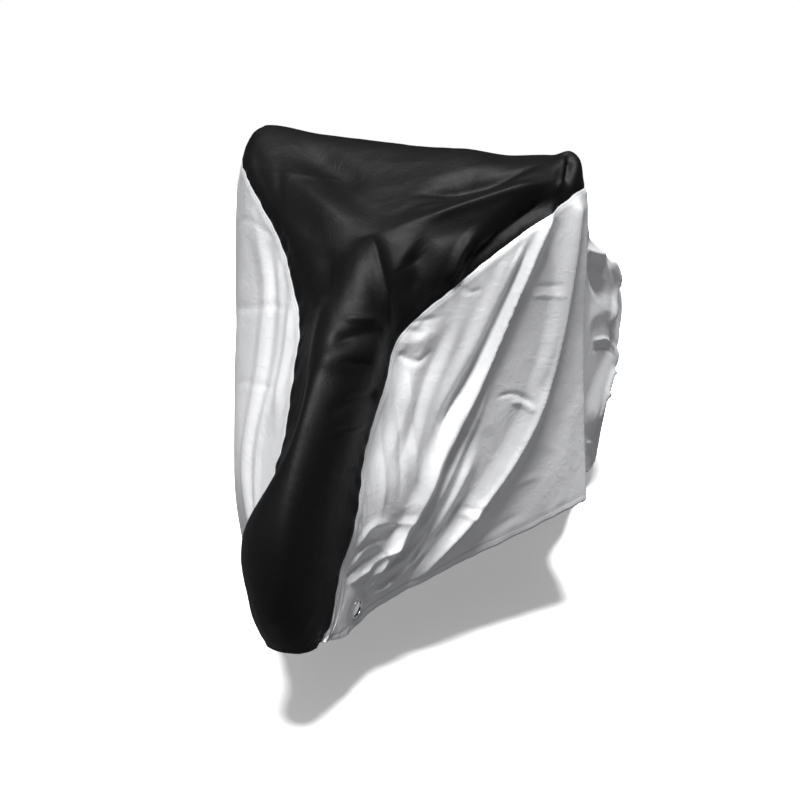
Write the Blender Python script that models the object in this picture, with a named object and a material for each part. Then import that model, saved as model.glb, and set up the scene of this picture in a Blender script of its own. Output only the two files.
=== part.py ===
"""Fitted cover of coated cloth for an upright bicycle, hanging as it does over a parked one.

The bicycle itself is not modelled. It leans on its stand towards +X with its bar turned the same way, and
the cloth takes its shape from that. A dark T of cloth runs up over the front wheel and out into two arms
over the bar. Two silver side panels are sewn to it and to each other along the crest behind the bar. Low
at the front, each side panel has a patch with an eyelet in it.

The front faces -Y and the bicycle's left side is at +X. The origin is the underside of the cloth where it
lies on the middle of the bar. Metres, +Z up.
"""

import math
from collections import namedtuple

import bmesh
import bpy
import numpy as np

# Cloth
CLOTH_THICKNESS = 0.002
PIECE_GAP = 0.0003

# Lie of the bicycle under the cloth
LEAN = math.radians(5.0)
BAR_TURN = math.radians(15.3)
FRAME_TURN = math.radians(2.2)
TURN_AXIS_Y = 0.07
TURNED_WITH_BAR_TO_Y = 0.30
TURNED_WITH_FRAME_FROM_Y = 0.80

# Eyelets
EYELET_PLACE = {"left": (2.10, 1.80), "right": (2.10, -1.80)}
EYELET_HOLE_RADIUS = 0.0135
EYELET_BARREL_RADIUS = 0.0155
EYELET_FLANGE_RADIUS = 0.0190
EYELET_FLANGE_THICKNESS = 0.0014
EYELET_CHAMFER = 0.0004
EYELET_SIDES = 28
FLAT_RADIUS = 0.024
FLAT_BLEND_RADIUS = 0.044

# Cells of the net that the pieces are cut from
FRONT_CELLS = 38
REAR_CELLS = 22
CENTRE_CELLS = 16
SIDE_CELLS = {"left": 28, "right": 16}
CENTRE_ENDS_AFTER_BAR = 4
PATCH_CELLS_ALONG = (7, 13)
PATCH_CELLS_UP = {"left": 11, "right": 6}
PATCH_RINGS = 4

# Ribs of the cover, from the front hem over the bar and the saddle to the rear hem, for a bicycle that
# stands upright with its bar straight. y and z are along and up from where the front tyre meets the
# ground. lift is how far the shoulders stand above the crest. square is 0 for a round shoulder and 1 for a square one. hang is 1 where the cloth hangs plumb
# from its crest and 0 where it lies against a wheel.
Crest = namedtuple("Crest", "y z lift square hang")
CREST = (
    Crest(-0.298, 0.186, 0.000, 0.2, 0.0),
    Crest(-0.352, 0.285, 0.000, 0.2, 0.0),
    Crest(-0.356, 0.400, 0.000, 0.2, 0.0),
    Crest(-0.274, 0.545, 0.000, 0.2, 0.1),
    Crest(-0.168, 0.668, 0.000, 0.2, 0.3),
    Crest(-0.075, 0.765, 0.000, 0.2, 0.5),
    Crest(0.015, 0.830, 0.000, 0.4, 0.8),
    Crest(0.110, 0.900, 0.006, 0.7, 1.0),
    Crest(0.205, 0.955, 0.014, 1.0, 1.0),
    Crest(0.300, 0.945, 0.010, 0.8, 1.0),
    Crest(0.520, 0.915, 0.000, 0.3, 0.8),
    Crest(0.750, 0.910, 0.000, 0.3, 0.5),
    Crest(0.900, 0.910, 0.000, 0.6, 0.3),
    Crest(1.050, 0.755, 0.000, 0.4, 0.1),
    Crest(1.280, 0.660, 0.000, 0.2, 0.0),
    Crest(1.430, 0.430, 0.000, 0.2, 0.0),
    Crest(1.430, 0.085, 0.000, 0.2, 0.0),
)
BAR_RIB = 8

# The two sides, a row for each rib: half width w, y and z of the seam line and of the hem, and how far
# the cloth between them bulges out.
Side = namedtuple("Side", "seam_w seam_y seam_z bulge hem_w hem_y hem_z")
SIDES = {
    "left": (
        Side(0.042, -0.247, 0.186, 0.000, 0.046, -0.232, 0.184),
        Side(0.048, -0.217, 0.225, 0.000, 0.054, -0.180, 0.164),
        Side(0.051, -0.184, 0.320, 0.004, 0.061, -0.125, 0.160),
        Side(0.058, -0.138, 0.470, 0.010, 0.070, -0.075, 0.166),
        Side(0.068, -0.080, 0.580, 0.022, 0.100, -0.010, 0.182),
        Side(0.082, -0.045, 0.662, 0.030, 0.145, 0.055, 0.205),
        Side(0.165, 0.030, 0.755, 0.030, 0.200, 0.130, 0.232),
        Side(0.258, 0.100, 0.846, 0.022, 0.265, 0.210, 0.265),
        Side(0.322, 0.205, 0.909, 0.010, 0.335, 0.290, 0.300),
        Side(0.285, 0.300, 0.880, 0.012, 0.315, 0.380, 0.285),
        Side(0.140, 0.520, 0.860, 0.010, 0.205, 0.590, 0.205),
        Side(0.080, 0.750, 0.850, 0.006, 0.140, 0.800, 0.140),
        Side(0.075, 0.915, 0.830, 0.004, 0.115, 0.950, 0.105),
        Side(0.074, 1.030, 0.695, 0.008, 0.105, 1.080, 0.085),
        Side(0.088, 1.230, 0.590, 0.004, 0.098, 1.200, 0.072),
        Side(0.078, 1.355, 0.390, 0.002, 0.082, 1.300, 0.070),
        Side(0.060, 1.390, 0.078, 0.000, 0.070, 1.350, 0.075),
    ),
    "right": (
        Side(0.046, -0.238, 0.168, 0.000, 0.050, -0.225, 0.168),
        Side(0.068, -0.240, 0.225, 0.000, 0.072, -0.175, 0.160),
        Side(0.090, -0.215, 0.330, 0.010, 0.102, -0.125, 0.160),
        Side(0.084, -0.140, 0.470, 0.035, 0.140, -0.075, 0.162),
        Side(0.087, -0.096, 0.580, 0.055, 0.195, -0.010, 0.165),
        Side(0.103, -0.045, 0.662, 0.058, 0.250, 0.040, 0.175),
        Side(0.168, 0.030, 0.768, 0.050, 0.285, 0.100, 0.190),
        Side(0.268, 0.100, 0.868, 0.028, 0.310, 0.190, 0.220),
        Side(0.325, 0.205, 0.900, 0.010, 0.335, 0.290, 0.250),
        Side(0.285, 0.300, 0.880, 0.012, 0.315, 0.380, 0.250),
        Side(0.140, 0.520, 0.860, 0.010, 0.205, 0.590, 0.205),
        Side(0.080, 0.750, 0.850, 0.006, 0.140, 0.800, 0.140),
        Side(0.075, 0.915, 0.830, 0.004, 0.115, 0.950, 0.105),
        Side(0.074, 1.030, 0.695, 0.008, 0.105, 1.080, 0.085),
        Side(0.088, 1.230, 0.590, 0.004, 0.098, 1.200, 0.072),
        Side(0.078, 1.355, 0.390, 0.002, 0.082, 1.300, 0.070),
        Side(0.060, 1.390, 0.078, 0.000, 0.070, 1.350, 0.075),
    ),
}
SIGN = {"left": 1, "right": -1}

# Ribs where the cloth runs straighter from its crest to a seam line than it would over a wheel, and how
# much of its usual width the shoulder keeps there
SHOULDER_KEPT = {"left": {}, "right": {3: 0.40, 4: 0.62, 5: 0.80}}
NET_ACROSS = (-2, -1.5, -1, -0.75, -0.4, 0, 0.4, 0.75, 1, 1.5, 2)

# Main folds. Each runs through three places, given as (rib, distance across): 0 is the crest, 1 the seam
# line and 2 the hem, negative on the right side. height is out from the cloth, or in where negative.
# crisp is 0 for a soft roll and 1 for a crease. rise and fall are the parts of its length over which the
# fold comes up and dies away.
Fold = namedtuple("Fold", "name start middle end height width crisp rise fall")
FOLDS = (
    Fold("sag between bar middle and left grip", (8.0, 0.20), (8.0, 0.50), (8.0, 0.72), -0.015, 0.090, 0.0, 0.4, 0.3),
    Fold("pleat over the left grip", (8.0, 0.70), (7.7, 0.79), (7.5, 0.92), -0.012, 0.026, 0.6, 0.2, 0.3),
    Fold("pleat over the right grip", (8.1, -0.70), (7.9, -0.80), (7.7, -0.92), -0.008, 0.020, 0.6, 0.2, 0.3),
    Fold("brow to the left grip", (5.60, 0.00), (6.5, 0.49), (7.55, 0.86), 0.020, 0.045, 0.7, 0.15, 0.3),
    Fold("brow to the right grip", (5.60, 0.00), (6.4, -0.42), (7.4, -0.72), 0.016, 0.045, 0.6, 0.20, 0.4),
    Fold("hollow above the left brow", (6.5, 0.16), (7.0, 0.42), (7.55, 0.64), -0.016, 0.055, 0.1, 0.4, 0.4),
    Fold("hollow above the right brow", (6.6, -0.10), (7.1, -0.30), (7.6, -0.52), -0.010, 0.050, 0.1, 0.4, 0.4),
    Fold("left edge of the nose facet", (5.70, 0.00), (4.60, 0.14), (4.15, 0.80), 0.011, 0.028, 0.9, 0.10, 0.3),
    Fold("right edge of the nose facet", (5.70, 0.00), (5.05, 0.36), (4.65, 0.88), 0.013, 0.028, 0.9, 0.10, 0.3),
    Fold("hollow left of the nose", (5.6, 0.38), (5.5, 0.62), (5.1, 0.88), -0.014, 0.050, 0.2, 0.3, 0.3),
    Fold("hollow right of the nose", (5.5, -0.30), (5.0, -0.42), (4.4, -0.36), -0.010, 0.045, 0.2, 0.3, 0.4),
    Fold("wedge beside the left seam", (7.40, 0.90), (6.65, 0.89), (5.9, 0.92), -0.013, 0.034, 0.5, 0.3, 0.2),
    Fold("lip of the wedge", (6.3, 0.72), (5.95, 0.80), (5.75, 0.95), 0.010, 0.018, 0.6, 0.3, 0.2),
    Fold("upper crease across the strip", (3.90, 0.04), (4.15, 0.36), (4.5, 0.76), -0.006, 0.020, 0.7, 0.3, 0.2),
    Fold("roll under the upper crease", (3.65, -0.20), (3.85, 0.30), (4.2, 0.85), 0.006, 0.030, 0.0, 0.3, 0.2),
    Fold("lower crease across the strip", (3.2, 0.30), (3.45, 0.62), (3.75, 0.95), -0.006, 0.020, 0.7, 0.3, 0.1),
    Fold("main sweep to the left eyelet", (7.75, 1.00), (6.75, 1.59), (4.1, 1.97), 0.014, 0.042, 0.6, 0.05, 0.25),
    Fold("hollow behind the main sweep", (7.90, 1.22), (7.15, 1.72), (5.2, 1.98), -0.008, 0.045, 0.0, 0.2, 0.3),
    Fold("ridge to the left eyelet", (7.40, 0.96), (5.70, 1.37), (2.6, 1.76), 0.017, 0.034, 0.7, 0.1, 0.1),
    Fold("trough inside the ridge", (7.00, 1.03), (5.95, 1.27), (4.9, 1.43), -0.008, 0.026, 0.5, 0.2, 0.3),
    Fold("lesser ridge to the left eyelet", (6.90, 1.02), (5.90, 1.23), (4.6, 1.42), 0.007, 0.026, 0.4, 0.2, 0.3),
    Fold("outer ridge to the left eyelet", (5.80, 1.53), (4.60, 1.77), (2.8, 1.90), 0.009, 0.028, 0.6, 0.2, 0.15),
    Fold("swelling beside the strip", (5.1, 1.10), (4.1, 1.28), (2.6, 1.28), 0.013, 0.080, 0.0, 0.3, 0.3),
    Fold("hollow under the swelling", (5.2, 1.50), (4.1, 1.62), (2.4, 1.46), -0.009, 0.034, 0.2, 0.3, 0.2),
    Fold("edge of the left curtain", (8.0, 0.97), (8.0, 1.50), (8.0, 2.00), 0.006, 0.030, 0.9, 0.05, 0.0),
    Fold("edge of the right curtain", (7.8, -1.00), (7.3, -1.50), (5.6, -1.90), 0.010, 0.045, 0.4, 0.1, 0.3),
    Fold("ridge to the right eyelet", (6.8, -1.06), (5.3, -1.28), (2.7, -1.66), 0.012, 0.030, 0.5, 0.2, 0.1),
    Fold("pucker beside the strip", (5.5, -1.02), (4.7, -1.12), (3.3, -1.16), 0.010, 0.026, 0.4, 0.3, 0.3),
    Fold("upper crease, right panel", (7.4, -1.20), (6.9, -1.13), (6.1, -1.02), -0.007, 0.026, 0.5, 0.2, 0.2),
    Fold("middle crease, right panel", (7.0, -1.38), (6.2, -1.27), (5.2, -1.04), -0.007, 0.026, 0.5, 0.2, 0.2),
    Fold("lower crease, right panel", (6.0, -1.47), (5.4, -1.36), (4.2, -1.16), -0.007, 0.026, 0.5, 0.2, 0.2),
    Fold("left drape from the saddle", (12.0, 0.90), (10.6, 1.40), (9.2, 1.95), 0.014, 0.060, 0.2, 0.2, 0.1),
    Fold("right drape from the saddle", (12.0, -0.90), (10.4, -1.40), (9.3, -1.95), 0.016, 0.060, 0.2, 0.2, 0.1),
    Fold("left hollow behind the bar", (9.2, 0.90), (9.8, 1.40), (10.2, 1.95), -0.014, 0.070, 0.0, 0.2, 0.1),
    Fold("right hollow behind the bar", (9.1, -0.90), (9.6, -1.40), (10.0, -1.95), -0.014, 0.070, 0.0, 0.2, 0.1),
    Fold("crest sag behind the bar", (9.4, 0.00), (10.2, 0.00), (11.2, 0.00), -0.016, 0.080, 0.0, 0.3, 0.3),
    Fold("tail, top facet", (13.2, 0.30), (13.7, 0.85), (14.3, 0.95), 0.018, 0.035, 0.9, 0.1, 0.2),
    Fold("tail, hollow under the facet", (12.9, 0.85), (13.4, 1.15), (14.0, 1.10), -0.018, 0.040, 0.4, 0.1, 0.3),
    Fold("tail, rear streak", (14.2, 0.60), (14.7, 0.95), (14.6, 1.35), 0.016, 0.030, 0.8, 0.1, 0.2),
    Fold("tail, upper crease", (14.0, 1.30), (14.4, 1.22), (15.0, 1.10), -0.010, 0.020, 0.8, 0.2, 0.2),
    Fold("tail, arch", (13.6, 1.75), (14.1, 1.45), (14.9, 1.40), 0.014, 0.024, 0.7, 0.1, 0.1),
    Fold("tail, lower hollow", (14.4, 1.60), (14.9, 1.60), (15.6, 1.45), -0.012, 0.030, 0.4, 0.2, 0.2),
    Fold("tail, right side ridge", (13.0, -0.80), (14.0, -1.10), (14.7, -1.60), 0.016, 0.035, 0.6, 0.1, 0.2),
    Fold("tail, right side hollow", (13.4, -1.50), (14.1, -1.35), (15.2, -1.10), -0.012, 0.035, 0.4, 0.1, 0.2),
)
FOLD_STEPS = 14


def curve_through(knots, values, at):
    """Reads a smooth curve through values at knots, at each place in at."""
    knots = np.asarray(knots, float)
    values = np.asarray(values, float)
    at = np.asarray(at, float)
    trail = (-1,) + (1,) * (values.ndim - 1)
    steps = np.diff(knots).reshape(trail)
    secants = np.diff(values, axis=0) / steps
    slopes = np.empty_like(values)
    slopes[1:-1] = (secants[:-1] * steps[1:] + secants[1:] * steps[:-1]) / (steps[:-1] + steps[1:])
    slopes[0] = 1.5 * secants[0] - 0.5 * slopes[1]
    slopes[-1] = 1.5 * secants[-1] - 0.5 * slopes[-2]
    span = np.clip(np.searchsorted(knots, at, side="right") - 1, 0, len(knots) - 2)
    step = steps[span]
    t = ((at - knots[span]) / np.diff(knots)[span]).reshape(trail)
    return (
        (1 + 2 * t) * (1 - t) ** 2 * values[span]
        + t * (1 - t) ** 2 * step * slopes[span]
        + t * t * (3 - 2 * t) * values[span + 1]
        + t * t * (t - 1) * step * slopes[span + 1]
    )


def smooth(t):
    t = np.clip(t, 0, 1)
    return t * t * (3 - 2 * t)


def half_rib(crest, side, sign, kept):
    """Arm, shoulder, seam, belly and hem of one rib on one side, for the upright bicycle."""
    top = np.array((0, crest.y, crest.z))
    seam = np.array((side.seam_w * sign, side.seam_y, side.seam_z))
    hem = np.array((side.hem_w * sign, side.hem_y, side.hem_z))
    arm_out, arm_down = 0.59 - 0.06 * crest.square, 0.19 * (1 - crest.square)
    shoulder_out, shoulder_down = 0.92 + 0.01 * crest.square, 0.62 - 0.54 * crest.square
    arm_out, shoulder_out = arm_out * kept, shoulder_out * kept
    arm = top + (seam - top) * (arm_out, arm_down, arm_down) + (0, 0, crest.lift / 2)
    shoulder = top + (seam - top) * (shoulder_out, shoulder_down, shoulder_down) + (0, 0, crest.lift)
    belly = (seam + hem) / 2 + (side.bulge * sign, 0, 0)
    return arm, shoulder, seam, belly, hem


def turned(points):
    """Turns the front with the bar and the rear with the frame, about the steering axis."""
    share = smooth((TURNED_WITH_FRAME_FROM_Y - points[..., 1]) / (TURNED_WITH_FRAME_FROM_Y - TURNED_WITH_BAR_TO_Y))
    angle = FRAME_TURN + (BAR_TURN - FRAME_TURN) * share
    along = points[..., 1] - TURN_AXIS_Y
    x = points[..., 0] * np.cos(angle) - along * np.sin(angle)
    y = points[..., 0] * np.sin(angle) + along * np.cos(angle) + TURN_AXIS_Y
    return np.stack([x, y, points[..., 2]], axis=-1)


def leaned(points, crest_z, plumb):
    """Leans the bicycle over. Where plumb is 1 the cloth goes as far over as its crest does."""
    lever = points[..., 2] * (1 - plumb) + crest_z * plumb
    x = points[..., 0] * math.cos(LEAN) + lever * math.sin(LEAN)
    z = points[..., 2] * math.cos(LEAN) - points[..., 0] * math.sin(LEAN)
    return np.stack([x, points[..., 1], z], axis=-1)


def control_net():
    """Points the cloth passes through: a row for each rib, a column for each place in NET_ACROSS."""
    net = []
    for rib, (crest, left, right) in enumerate(zip(CREST, SIDES["left"], SIDES["right"])):
        left_half = half_rib(crest, left, 1, SHOULDER_KEPT["left"].get(rib, 1))
        right_half = half_rib(crest, right, -1, SHOULDER_KEPT["right"].get(rib, 1))
        net.append([*right_half[::-1], (0, crest.y, crest.z), *left_half])
    crest_z = np.array([crest.z for crest in CREST])[:, None]
    hang = np.array([crest.hang for crest in CREST])[:, None]
    plumb = np.clip(np.abs(NET_ACROSS) - 1, 0, 1)[None, :] * hang
    return leaned(turned(np.array(net)), crest_z, plumb)


NET = control_net()
RIB_SPACING = np.linalg.norm(np.diff(NET[:, ::5], axis=0), axis=2).mean(axis=1)
RIB_KNOTS = np.concatenate([[0], np.cumsum(RIB_SPACING)])


def base_points(station, across):
    """Points of the cloth before its folds. station counts ribs, across is as in NET_ACROSS."""
    rows = curve_through(RIB_KNOTS, NET, np.interp(station, range(len(CREST)), RIB_KNOTS))
    shares = curve_through(NET_ACROSS, np.eye(len(NET_ACROSS)), across)
    return np.einsum("ij,ijk->ik", shares, rows)


def normals_of(points_at, station, across):
    """Outward unit normals of the surface that points_at describes."""
    last = len(CREST) - 1
    along = points_at(np.clip(station + 0.02, 0, last), across) - points_at(np.clip(station - 0.02, 0, last), across)
    out = points_at(station, np.clip(across + 0.01, -2, 2)) - points_at(station, np.clip(across - 0.01, -2, 2))
    normals = np.cross(out, along)
    return normals / np.linalg.norm(normals, axis=1)[:, None]


def fold_heights(points):
    """How far the folds lift the cloth at each point."""
    heights = np.zeros(len(points))
    for fold in FOLDS:
        ends = np.array((fold.start, fold.middle, fold.end))
        along = np.linspace(0, 1, FOLD_STEPS + 1)
        line = base_points(*curve_through((0, 0.5, 1), ends, along).T)
        first, run = line[:-1], np.diff(line, axis=0)
        offset = points[:, None] - first[None]
        share = np.clip(np.einsum("ijk,jk->ij", offset, run) / np.einsum("jk,jk->j", run, run), 0, 1)
        gaps = np.linalg.norm(offset - share[..., None] * run, axis=2)
        nearest = gaps.argmin(axis=1)
        rows = np.arange(len(points))
        reach = (nearest + share[rows, nearest]) / FOLD_STEPS
        near = 1 - np.clip(gaps[rows, nearest] / fold.width, 0, 1)
        shape = smooth(near) * (1 - fold.crisp) + near * near * fold.crisp
        ends_of = smooth(reach / max(fold.rise, 1e-6)) * smooth((1 - reach) / max(fold.fall, 1e-6))
        heights += fold.height * shape * ends_of
    return heights


def folded_points(station, across):
    """Points of the outer face of the cloth, folds included."""
    points = base_points(station, across)
    return points + normals_of(base_points, station, across) * fold_heights(points)[:, None]


def eyelet_seat(side):
    """Centre and outward normal of the flat spot under an eyelet."""
    station, across = (np.array([value]) for value in EYELET_PLACE[side])
    return folded_points(station, across)[0], normals_of(base_points, station, across)[0]


SEATS = {side: eyelet_seat(side) for side in SIGN}


def cloth_points(station, across):
    """Points of the outer face of the cloth, folds and the flat spots under the eyelets included."""
    points = folded_points(station, across)
    for centre, normal in SEATS.values():
        offset = points - centre
        away = np.linalg.norm(offset, axis=1)
        flat = 1 - smooth((away - FLAT_RADIUS) / (FLAT_BLEND_RADIUS - FLAT_RADIUS))
        points = points - normal * (offset @ normal * flat)[:, None]
    return points


ORIGIN = (cloth_points(np.array([BAR_RIB]), np.array([0])) - CLOTH_THICKNESS * normals_of(cloth_points, np.array([BAR_RIB]), np.array([0])))[0]

# Lines of the net: along the cover, and across it from the right hem to the left one
ALONG = np.concatenate([np.linspace(0, BAR_RIB, FRONT_CELLS + 1), np.linspace(BAR_RIB, len(CREST) - 1, REAR_CELLS + 1)[1:]])
ACROSS = np.concatenate([
    np.linspace(-2, -1, SIDE_CELLS["right"] + 1),
    np.linspace(-1, 1, CENTRE_CELLS + 1)[1:],
    np.linspace(1, 2, SIDE_CELLS["left"] + 1)[1:],
])
SEAM_LINE = {"right": SIDE_CELLS["right"], "left": SIDE_CELLS["right"] + CENTRE_CELLS}
CREST_LINE = SIDE_CELLS["right"] + CENTRE_CELLS // 2


def owners():
    """Name of the piece that each cell of the net belongs to."""
    cells = np.full((len(ALONG) - 1, len(ACROSS) - 1), "side_panel_left", dtype=object)
    cells[:, :CREST_LINE] = "side_panel_right"
    cells[: FRONT_CELLS + CENTRE_ENDS_AFTER_BAR, SEAM_LINE["right"] : SEAM_LINE["left"]] = "centre_panel"
    first, last = PATCH_CELLS_ALONG
    cells[first:last, -PATCH_CELLS_UP["left"] :] = "eyelet_patch_left"
    cells[first:last, : PATCH_CELLS_UP["right"]] = "eyelet_patch_right"
    return cells


OWNERS = owners()


def pull_back(name, i, j):
    """Which way a corner of the net moves, along and across, to leave a gap round the named piece."""
    pull = np.zeros(2)
    for di in (-1, 0):
        for dj in (-1, 0):
            if 0 <= i + di < OWNERS.shape[0] and 0 <= j + dj < OWNERS.shape[1]:
                towards = np.array((2 * di + 1, 2 * dj + 1))
                pull += towards if OWNERS[i + di, j + dj] == name else -towards
    edge = np.array((i in (0, OWNERS.shape[0]), j in (0, OWNERS.shape[1])))
    foreign = any(
        OWNERS[i + di, j + dj] != name
        for di in (-1, 0)
        for dj in (-1, 0)
        if 0 <= i + di < OWNERS.shape[0] and 0 <= j + dj < OWNERS.shape[1]
    )
    return np.sign(pull) * ~edge if foreign else np.zeros(2)


def net_places(name, corners):
    """Station and distance across of corners of the net, drawn in by half a gap along the named piece."""
    corners = np.asarray(corners)
    station, across = ALONG[corners[:, 0]], ACROSS[corners[:, 1]]
    pull = np.array([pull_back(name, i, j) for i, j in corners])
    step = 1e-3
    inward_station = np.where(station > 1, -step, step)
    inward_across = np.where(across > 0, -step, step)
    here = base_points(station, across)
    per_station = np.linalg.norm(base_points(station + inward_station, across) - here, axis=1) / step
    per_across = np.linalg.norm(base_points(station, across + inward_across) - here, axis=1) / step
    return (
        station + pull[:, 0] * PIECE_GAP / 2 / per_station,
        across + pull[:, 1] * PIECE_GAP / 2 / per_across,
    )


def clear_scene():
    for old in list(bpy.data.objects):
        bpy.data.objects.remove(old, do_unlink=True)


def finish(mesh_name, bm, look):
    """Turns a closed bmesh into an object of its own, moved to the origin of the part."""
    bmesh.ops.recalc_face_normals(bm, faces=bm.faces)
    bmesh.ops.translate(bm, verts=bm.verts, vec=-ORIGIN)
    mesh = bpy.data.meshes.new(mesh_name)
    bm.to_mesh(mesh)
    bm.free()
    mesh.materials.append(look)
    piece = bpy.data.objects.new(mesh_name, mesh)
    bpy.context.scene.collection.objects.link(piece)
    return piece


def thicken(bm, outer, normals):
    """Gives a flat bmesh the shape and the thickness of the cloth. Its vertices say which row is theirs.

    Rims are cut into triangles the same way on both sides of a seam, so that the gap there stays even.
    """
    order, corner = bm.verts.layers.int["order"], bm.verts.layers.int["corner"]
    for vert in bm.verts:
        vert.co = outer[vert[order]]
    made = bmesh.ops.extrude_face_region(bm, geom=bm.faces[:])
    inside = {vert for vert in made["geom"] if isinstance(vert, bmesh.types.BMVert)}
    for vert in inside:
        vert.co = outer[vert[order]] - CLOTH_THICKNESS * normals[vert[order]]
    rims = [face for face in bm.faces if 0 < len(inside.intersection(face.verts)) < len(face.verts)]
    for face in rims:
        within = [vert for vert in face.verts if vert in inside]
        without = [vert for vert in face.verts if vert not in inside]
        ends = min(without, key=lambda vert: vert[corner]), max(within, key=lambda vert: vert[corner])
        bmesh.utils.face_split(face, *ends)


def flat_grid(columns, rows):
    """A flat grid in a new bmesh, and the column and row of each of its vertices."""
    bm = bmesh.new()
    bmesh.ops.create_grid(bm, x_segments=columns, y_segments=rows, size=0.5)
    cells = np.rint([((vert.co.x + 0.5) * columns, (vert.co.y + 0.5) * rows) for vert in bm.verts]).astype(int)
    order, corner = bm.verts.layers.int.new("order"), bm.verts.layers.int.new("corner")
    for vert, (column, row) in zip(bm.verts, cells):
        vert[order] = vert.index
        vert[corner] = corner_number(column, row)
    return bm, cells


def corner_number(i, j):
    return int(i) * len(ACROSS) + int(j)


def panel(name, look):
    """A piece cut from the net."""
    bm, corners = flat_grid(*OWNERS.shape)
    others = [face for face in bm.faces if OWNERS[tuple(corners[[vert.index for vert in face.verts]].min(axis=0))] != name]
    outer = cloth_points(*net_places(name, corners))
    normals = normals_of(cloth_points, ALONG[corners[:, 0]], ACROSS[corners[:, 1]])
    bmesh.ops.delete(bm, geom=others, context="FACES")
    thicken(bm, outer, normals)
    return finish(name, bm, look)


def circle_places(side, radius, count):
    """Places on the net of a circle on the flat spot, starting at the corner of the patch."""
    centre, normal = SEATS[side]
    spot = np.array(EYELET_PLACE[side])
    ahead = folded_points(spot[:1] + 0.05, spot[1:])[0] - centre
    ahead = ahead - normal * (ahead @ normal)
    ahead = ahead / np.linalg.norm(ahead)
    up = np.cross(normal, ahead) * SIGN[side]
    angles = np.arange(count) * 2 * math.pi / count - 0.75 * math.pi
    wanted = centre + radius * (np.cos(angles)[:, None] * ahead + np.sin(angles)[:, None] * up)
    frame = np.stack([ahead, up])
    steps = np.array([(0.02, 0), (0, 0.02)])
    slopes = np.stack([(cloth_points(*(spot + step)[:, None])[0] - centre) @ frame.T / 0.02 for step in steps], axis=1)
    places = np.repeat(spot[None], count, axis=0)
    for _ in range(12):
        places = places + (wanted - cloth_points(*places.T)) @ frame.T @ np.linalg.inv(slopes).T
    return places


def patch(side, look):
    """The corner piece that holds an eyelet: rings of cells from its outline in to the round hole."""
    name = f"eyelet_patch_{side}"
    (first, last), up = PATCH_CELLS_ALONG, PATCH_CELLS_UP[side]
    low, high = (len(ACROSS) - 1, len(ACROSS) - 1 - up) if side == "left" else (0, up)
    rise = 1 if high > low else -1
    outline = [(i, low) for i in range(first, last)]
    outline += [(last, j) for j in range(low, high, rise)]
    outline += [(i, high) for i in range(last, first, -1)]
    outline += [(first, j) for j in range(high, low, -rise)]
    outline = np.array(outline)
    edge = np.stack(net_places(name, outline), axis=1)
    corner = np.stack([ALONG[outline[:, 0]], ACROSS[outline[:, 1]]], axis=1)
    radius = (EYELET_BARREL_RADIUS + PIECE_GAP) / math.cos(math.pi / len(outline))
    hole = circle_places(side, radius, len(outline))

    bm, cells = flat_grid(len(outline), PATCH_RINGS)
    column, inward = cells[:, 0] % len(outline), cells[:, 1:] / PATCH_RINGS
    outer = cloth_points(*(edge[column] * (1 - inward) + hole[column] * inward).T)
    normals = normals_of(cloth_points, *(corner[column] * (1 - inward) + hole[column] * inward).T)
    number = bm.verts.layers.int["corner"]
    for vert, place in zip(bm.verts, outline[column]):
        vert.co = outer[vert.index]
        vert[number] = corner_number(*place)
    bmesh.ops.remove_doubles(bm, verts=bm.verts, dist=1e-5)
    thicken(bm, outer, normals)
    return finish(name, bm, look)


def eyelet(side, look):
    """A ring whose two flanges hold the patch between them."""
    centre, normal = SEATS[side]
    low, high = -CLOTH_THICKNESS - PIECE_GAP, PIECE_GAP
    bore, barrel, rim = EYELET_HOLE_RADIUS, EYELET_BARREL_RADIUS, EYELET_FLANGE_RADIUS
    bottom, top, cut = low - EYELET_FLANGE_THICKNESS, high + EYELET_FLANGE_THICKNESS, EYELET_CHAMFER
    profile = (
        (bore, top - cut), (bore + cut, top), (rim - cut, top), (rim, top - cut), (rim, high), (barrel, high),
        (barrel, low), (rim, low), (rim, bottom + cut), (rim - cut, bottom), (bore + cut, bottom), (bore, bottom + cut),
    )
    across = np.cross(normal, (0, 0, 1))
    across = across / np.linalg.norm(across)
    bm = bmesh.new()
    verts = [bm.verts.new(centre + across * radius + normal * height) for radius, height in profile]
    edges = [bm.edges.new((one, other)) for one, other in zip(verts, verts[1:] + verts[:1])]
    bmesh.ops.spin(bm, geom=edges, cent=centre, axis=normal, angle=2 * math.pi, steps=EYELET_SIDES, use_merge=True)
    bmesh.ops.remove_doubles(bm, verts=bm.verts, dist=1e-6)
    return finish(f"eyelet_{side}", bm, look)


def material(name):
    look = bpy.data.materials.new(name)
    look.use_nodes = True
    shader = look.node_tree.nodes["Principled BSDF"]
    shader.inputs["Base Color"].default_value = (*LOOKS[name].colour, 1)
    shader.inputs["Metallic"].default_value = LOOKS[name].metallic
    shader.inputs["Roughness"].default_value = LOOKS[name].roughness
    return look


Look = namedtuple("Look", "colour metallic roughness")
LOOKS = {
    "dark_cloth": Look((0.012, 0.012, 0.013), 0.0, 0.55),
    "silver_cloth": Look((0.48, 0.48, 0.49), 0.55, 0.42),
    "eyelet_metal": Look((0.78, 0.78, 0.80), 1.0, 0.30),
}


def main():
    clear_scene()
    looks = {name: material(name) for name in LOOKS}
    panel("centre_panel", looks["dark_cloth"])
    for side in SIGN:
        panel(f"side_panel_{side}", looks["silver_cloth"])
        patch(side, looks["silver_cloth"])
        eyelet(side, looks["eyelet_metal"])


main()
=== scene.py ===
"""Finished look of a fitted bicycle cover: sewn panels with their folds, eyelets and a small studio."""

import math
from collections import namedtuple
from functools import lru_cache

import bmesh
import bpy
import numpy as np
from bpy.props import FloatProperty, PointerProperty, StringProperty
from mathutils import Matrix, Vector, noise


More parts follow.
